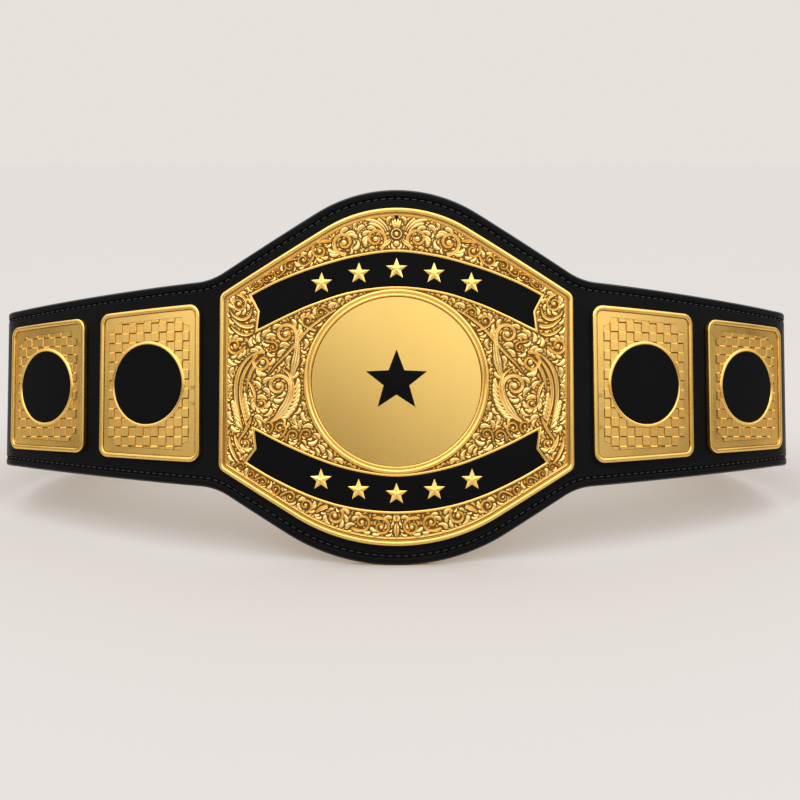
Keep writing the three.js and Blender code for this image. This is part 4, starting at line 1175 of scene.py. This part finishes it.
STAR_HEIGHTS = (0.05, 0.5, 1.55)  # of its foot, its walls' top and its middle over what it lies on
EMBLEM_HEIGHTS = (0.05, 0.7, 1.9)


def domed(form, loop, top, drop=1.5, soft=0.35, step=6.0):
    """A level inlay with a softened edge"""
    form.moulding(loop, [(0, top - drop), (0, top - soft), (soft * 0.3, top - soft * 0.3), (soft, top)])
    form.fill([offset(loop, -soft)], top, step)
    form.fill([loop], top - drop, step, down=True)


def star_points(radius, s, t):
    angles = np.radians(90 + 36 * np.arange(10))
    reach = np.where(np.arange(10) % 2 == 0, radius, radius * STAR_WAIST)
    return polar(reach, angles) + (s, t)


def ridged_star(radius, s, t, foot, wall, crest):
    """A star with a ridge along each arm"""
    form = Form()
    loop = star_points(radius, s, t)
    form.loft([level(loop, foot), level(loop, wall)])
    form.add([*level(loop, wall), (s, t, crest)], [(i, (i + 1) % 10, 10) for i in range(10)])
    form.add(level(loop, foot), [tuple(range(9, -1, -1))])
    return form


def middle_line(banner, s):
    heights = []
    for rows in (banner["upper"], banner["lower"][::-1]):
        at, up = np.array(rows).T
        heights.append(np.interp(abs(s), at, up))
    return sum(heights) / 2


def inlays():
    for word, banner in (("top", TOP_BANNER), ("bottom", BOTTOM_BANNER)):
        form = Form()
        domed(form, banner_loop(banner, -FIT), INLAY_TOP, soft=0.2)
        dress(f"{word}_banner_enamel", form, [ENAMEL], [f"{word}_banner"])
        for k in range(STARS):
            s = (k - STARS // 2) * STAR_SPACING
            heights = [INLAY_TOP + h for h in STAR_HEIGHTS]
            form = ridged_star(STAR_RADIUS, s, middle_line(banner, s), *heights)
            dress(f"banner_star_{word}_{k + 1}", form, [POLISHED], [f"star_{word}_{k + 1}"], 20)
    disc = Form()
    edge = circle(DISC_RADIUS - FIT, 0, MEDALLION_T)
    top = INLAY_TOP + 0.1
    domed(disc, edge, top, drop=1.6, soft=0.3, step=7)
    dress("medallion_brushed", disc, [BRUSHED], ["medallion_disc"])
    star = ridged_star(EMBLEM_RADIUS, 0, MEDALLION_T, *[top + h for h in EMBLEM_HEIGHTS])
    dress("medallion_emblem", star, [ENAMEL], ["medallion_star"], 20)


# Side plates

SIDE_RIDGE = [(0.4, 0.3), (0, 0.7), (0, 3.3), (0.15, 3.8), (0.5, 4.08), (1, 4.2), (2.6, 4.2), (3, 4.08),
              (3.35, 3.7), (3.5, 2.75)]
SIDE_GROOVE = [(3.5, 2.75), (3.55, 2.35), (3.95, 2.3), (4.05, 2.7)]
RING = [(1, 2.5), (1, 3.5), (0.75, 3.95), (0.4, 4.15), (0.1, 3.9), (0, 3.4), (0, 1.7)]
STRAND = (6.7, 7.1)  # width and height of one crossing in the basket weave
STRAND_RISE = 0.7
STRAND_GROOVE = 0.65
RAISED_EDGES = (0.4, 0.7, 0.3)  # how far the slopes reach in from the sides, the top and the foot
SUNK_EDGES = (0.45, 0.85, 0.05)
CROSSING_INSET = 0.06  # of the outlines that keep neighbouring slopes apart
PANEL_LAP = 0.25  # how far the woven panel's edge slopes out into the plate's face
PANEL_RAISE = 0.05  # the woven panel's ground above the plate's face
PANEL_DEPTH = 0.75  # below the plate's face, where the painted shade in the weave's grooves is darkest
NO_GRID = 400  # a step wider than any panel
RING_SIDES = 72


def crossing(edges, shrink):
    """The outline of a crossing's level middle, or nearly its whole outline"""
    side, top, foot = np.array(edges) * (1 - shrink) + CROSSING_INSET * shrink
    a, b = STRAND[0] / 2, STRAND[1] / 2
    return np.array([(side - a, foot - b), (a - side, foot - b), (a - side, b - top), (side - a, b - top)])


def weave_rise(local):
    """Height over the panel's ground: crossings are raised and sunk by turns, with grooves between"""
    column, row = np.round(local[:, 0] / STRAND[0]), np.round(local[:, 1] / STRAND[1])
    ds = np.abs(local[:, 0] - column * STRAND[0])
    dt = local[:, 1] - row * STRAND[1]
    slopes = []
    for side, top, foot in (RAISED_EDGES, SUNK_EDGES):
        from_foot = (STRAND[1] / 2 + dt) / foot
        reach = [(STRAND[0] / 2 - ds) / side, (STRAND[1] / 2 - dt) / top, from_foot]
        slopes.append(np.clip(np.min(reach, axis=0), 0, 1))
    raised = (column + row) % 2 == 0
    return np.where(raised, STRAND_RISE * slopes[0], STRAND_GROOVE * (slopes[1] - 1))


def woven_panel(form, plate, side):
    loop = panel_loop(plate, side)
    middle = np.array([side * plate["at"], 0])
    ring = circle(plate["disc"] + RING_WIDTH, *middle, RING_SIDES)
    columns = int(plate["width"] / 2 / STRAND[0]) + 1
    rows = int(plate["near"] / STRAND[1]) + 1
    low, high = loop.min(0), loop.max(0)
    edges = []
    for i in range(-columns, columns + 1):
        for j in range(-rows, rows + 1):
            at = middle + np.array([i, j]) * STRAND
            for shrink in (0, 1):
                cell = at + crossing(SUNK_EDGES if (i + j) % 2 else RAISED_EDGES, shrink)
                if (cell.max(0) > low).all() and (cell.min(0) < high).all():
                    edges.append(cell)
    points, faces = flat_fill([loop, ring], NO_GRID, edges)
    ground = SIDE_FACE + PANEL_RAISE
    form.add(np.column_stack([points, ground + weave_rise(points - middle)]), faces, 1)
    form.moulding(loop, [(-PANEL_LAP, SIDE_FACE - 0.3), (0, ground)], 1)


def side_plate(plate, side, word):
    form = Form()
    loop = side_loop(plate, side)
    inner = offset(loop, -SIDE_GROOVE[-1][0])
    form.moulding(loop, SIDE_RIDGE)
    form.moulding(loop, SIDE_GROOVE, 2)
    at = side * plate["at"]
    form.fill([inner, offset(panel_loop(plate, side), PANEL_LAP)], SIDE_FACE, 6)
    form.fill([offset(loop, -SIDE_RIDGE[0][0])], PLATE_BACK, 8, down=True)
    turned(form, [(plate["disc"] + RING_WIDTH * share, h) for share, h in RING], at, 0, RING_SIDES)
    woven_panel(form, plate, side)
    name = f"{plate['name']}_plate_{word}"
    dress(f"{name}_casting", form, [POLISHED, PANEL, SHADED], [name], 20,
          above(SIDE_FACE - PANEL_DEPTH))
    disc = Form()
    edge = circle(plate["disc"] - FIT, at, 0, RING_SIDES)
    domed(disc, edge, SIDE_FACE - INLAY_SEAT + FIT + INLAY_THICKNESS, soft=0.25)
    name = f"{plate['name']}_disc_{word}"
    dress(f"{name}_enamel", disc, [ENAMEL], [name])


# Fastenings

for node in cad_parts:
    if node.startswith(("screw", "snap")):
        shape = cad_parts[node]
        shape.data.materials.clear()
        shape.data.materials.append(NICKEL)

strap()
stitches()
centre_plate()
scrollwork()
inlays()
for word, side in (("right", 1), ("left", -1)):
    for plate in (INNER, OUTER):
        side_plate(plate, side, word)

# Camera, floor and light

FRAME_SIDE = 800  # pixels
SENSOR = 36
FOCAL = 1100 / FRAME_SIDE * SENSOR
DISTANCE = 0.797
VIEW_LIFT = -2.7  # degrees from the belt's own plane
AIM = (3.5, 17.6)  # the strap's middle shows this many pixels left of and above the frame's middle
FLOOR_REACH = 30
LIGHT_TINT = (1, 0.98, 0.95)
BELT_MIDDLE = (0, 0, 0.12)
WALL = ((0.797, 0.753, 0.716), (1.3, 1.28, 1.26))  # colours of its lower and its upper part
FRONT = ((0.17, 0.14, 0.1), (1.52, 1.57, 1.66))
CEILING = (2.2, 2.17, 2.12)


def camera():
    middle = Vector(bend([(0, 0, 0)])[0])
    lift = LEAN + radians(VIEW_LIFT)
    forward = Vector((0, cos(lift), -sin(lift)))
    up = Vector((0, sin(lift), cos(lift)))
    right = forward.cross(up)
    data = bpy.data.cameras.new("camera")
    data.lens = FOCAL
    data.sensor_width = SENSOR
    data.shift_x = AIM[0] / FRAME_SIDE
    data.shift_y = -AIM[1] / FRAME_SIDE
    data.clip_end = 100
    eye = bpy.data.objects.new("camera", data)
    eye.location = middle - forward * DISTANCE
    turn = np.array([right, up, -forward]).T
    eye.rotation_euler = Matrix(turn.tolist()).to_euler()
    bpy.context.scene.collection.objects.link(eye)
    bpy.context.scene.camera = eye


def softbox(name, place, size, power):
    """A soft light that faces the belt"""
    data = bpy.data.lights.new(name, "AREA")
    data.shape = "RECTANGLE"
    data.size, data.size_y = size
    data.energy = power
    data.color = LIGHT_TINT
    light = bpy.data.objects.new(name, data)
    light.location = place
    light.rotation_euler = (Vector(BELT_MIDDLE) - Vector(place)).to_track_quat("-Z", "Y").to_euler()
    bpy.context.scene.collection.objects.link(light)


def pale_floor():
    data = bpy.data.meshes.new("floor")
    corners = [(x * FLOOR_REACH, y * FLOOR_REACH, 0) for x, y in ((-1, -1), (1, -1), (1, 1), (-1, 1))]
    data.from_pydata(corners, [], [(0, 1, 2, 3)])
    # The floor glows faintly warm: painted light that lifts the shadows on it, standing in for bounce
    # light
    finish = Finish("pale floor", roughness=0.9, specular_ior_level=0.0, emission_strength=1.0,
                    emission_color=(0.186, 0.1, 0.01))
    cloud = finish.noise(finish.places(), 3)
    finish.tint(cloud, (0.371, 0.401, 0.438), (0.377, 0.407, 0.444))
    data.materials.append(finish.material)
    floor = bpy.data.objects.new("floor", data)
    bpy.context.scene.collection.objects.link(floor)


def room_light():
    """A plain wall, a bright ceiling and a front that is dim below and bright above"""
    world = bpy.data.worlds.new("studio")
    world.use_nodes = True
    bpy.context.scene.world = world
    room = Shader(world.node_tree, "Background")
    split = {"Vector": room.node("TexCoord", output="Generated")}
    x, y, z = (room.node("SeparateXYZ", split, output=k) for k in range(3))
    wall = room.blend(z.between(0.2, 0.5), *WALL)
    ahead = 0 - y
    lean = x * ahead.between(0.75, 0.95) * 0.18
    lift = ahead.between(0, 0.3) * 0.13 - ahead.between(0.6, 0.9) * 0.06
    front = room.blend((z + lean + lift).between(0.215, 0.505), *FRONT)
    around = room.blend(ahead.between(-0.3, 0.05), wall, front)
    room.feed("Color", room.blend(z.between(0.7, 0.95), around, CEILING))


camera()
pale_floor()
room_light()
softbox("key", (-0.7, -1.3, 1.7), (0.42, 0.42), 3.5)
softbox("fill", (1.1, -1.1, 1.2), (0.28, 0.56), 2)
bpy.context.scene.view_settings.view_transform = "Standard"
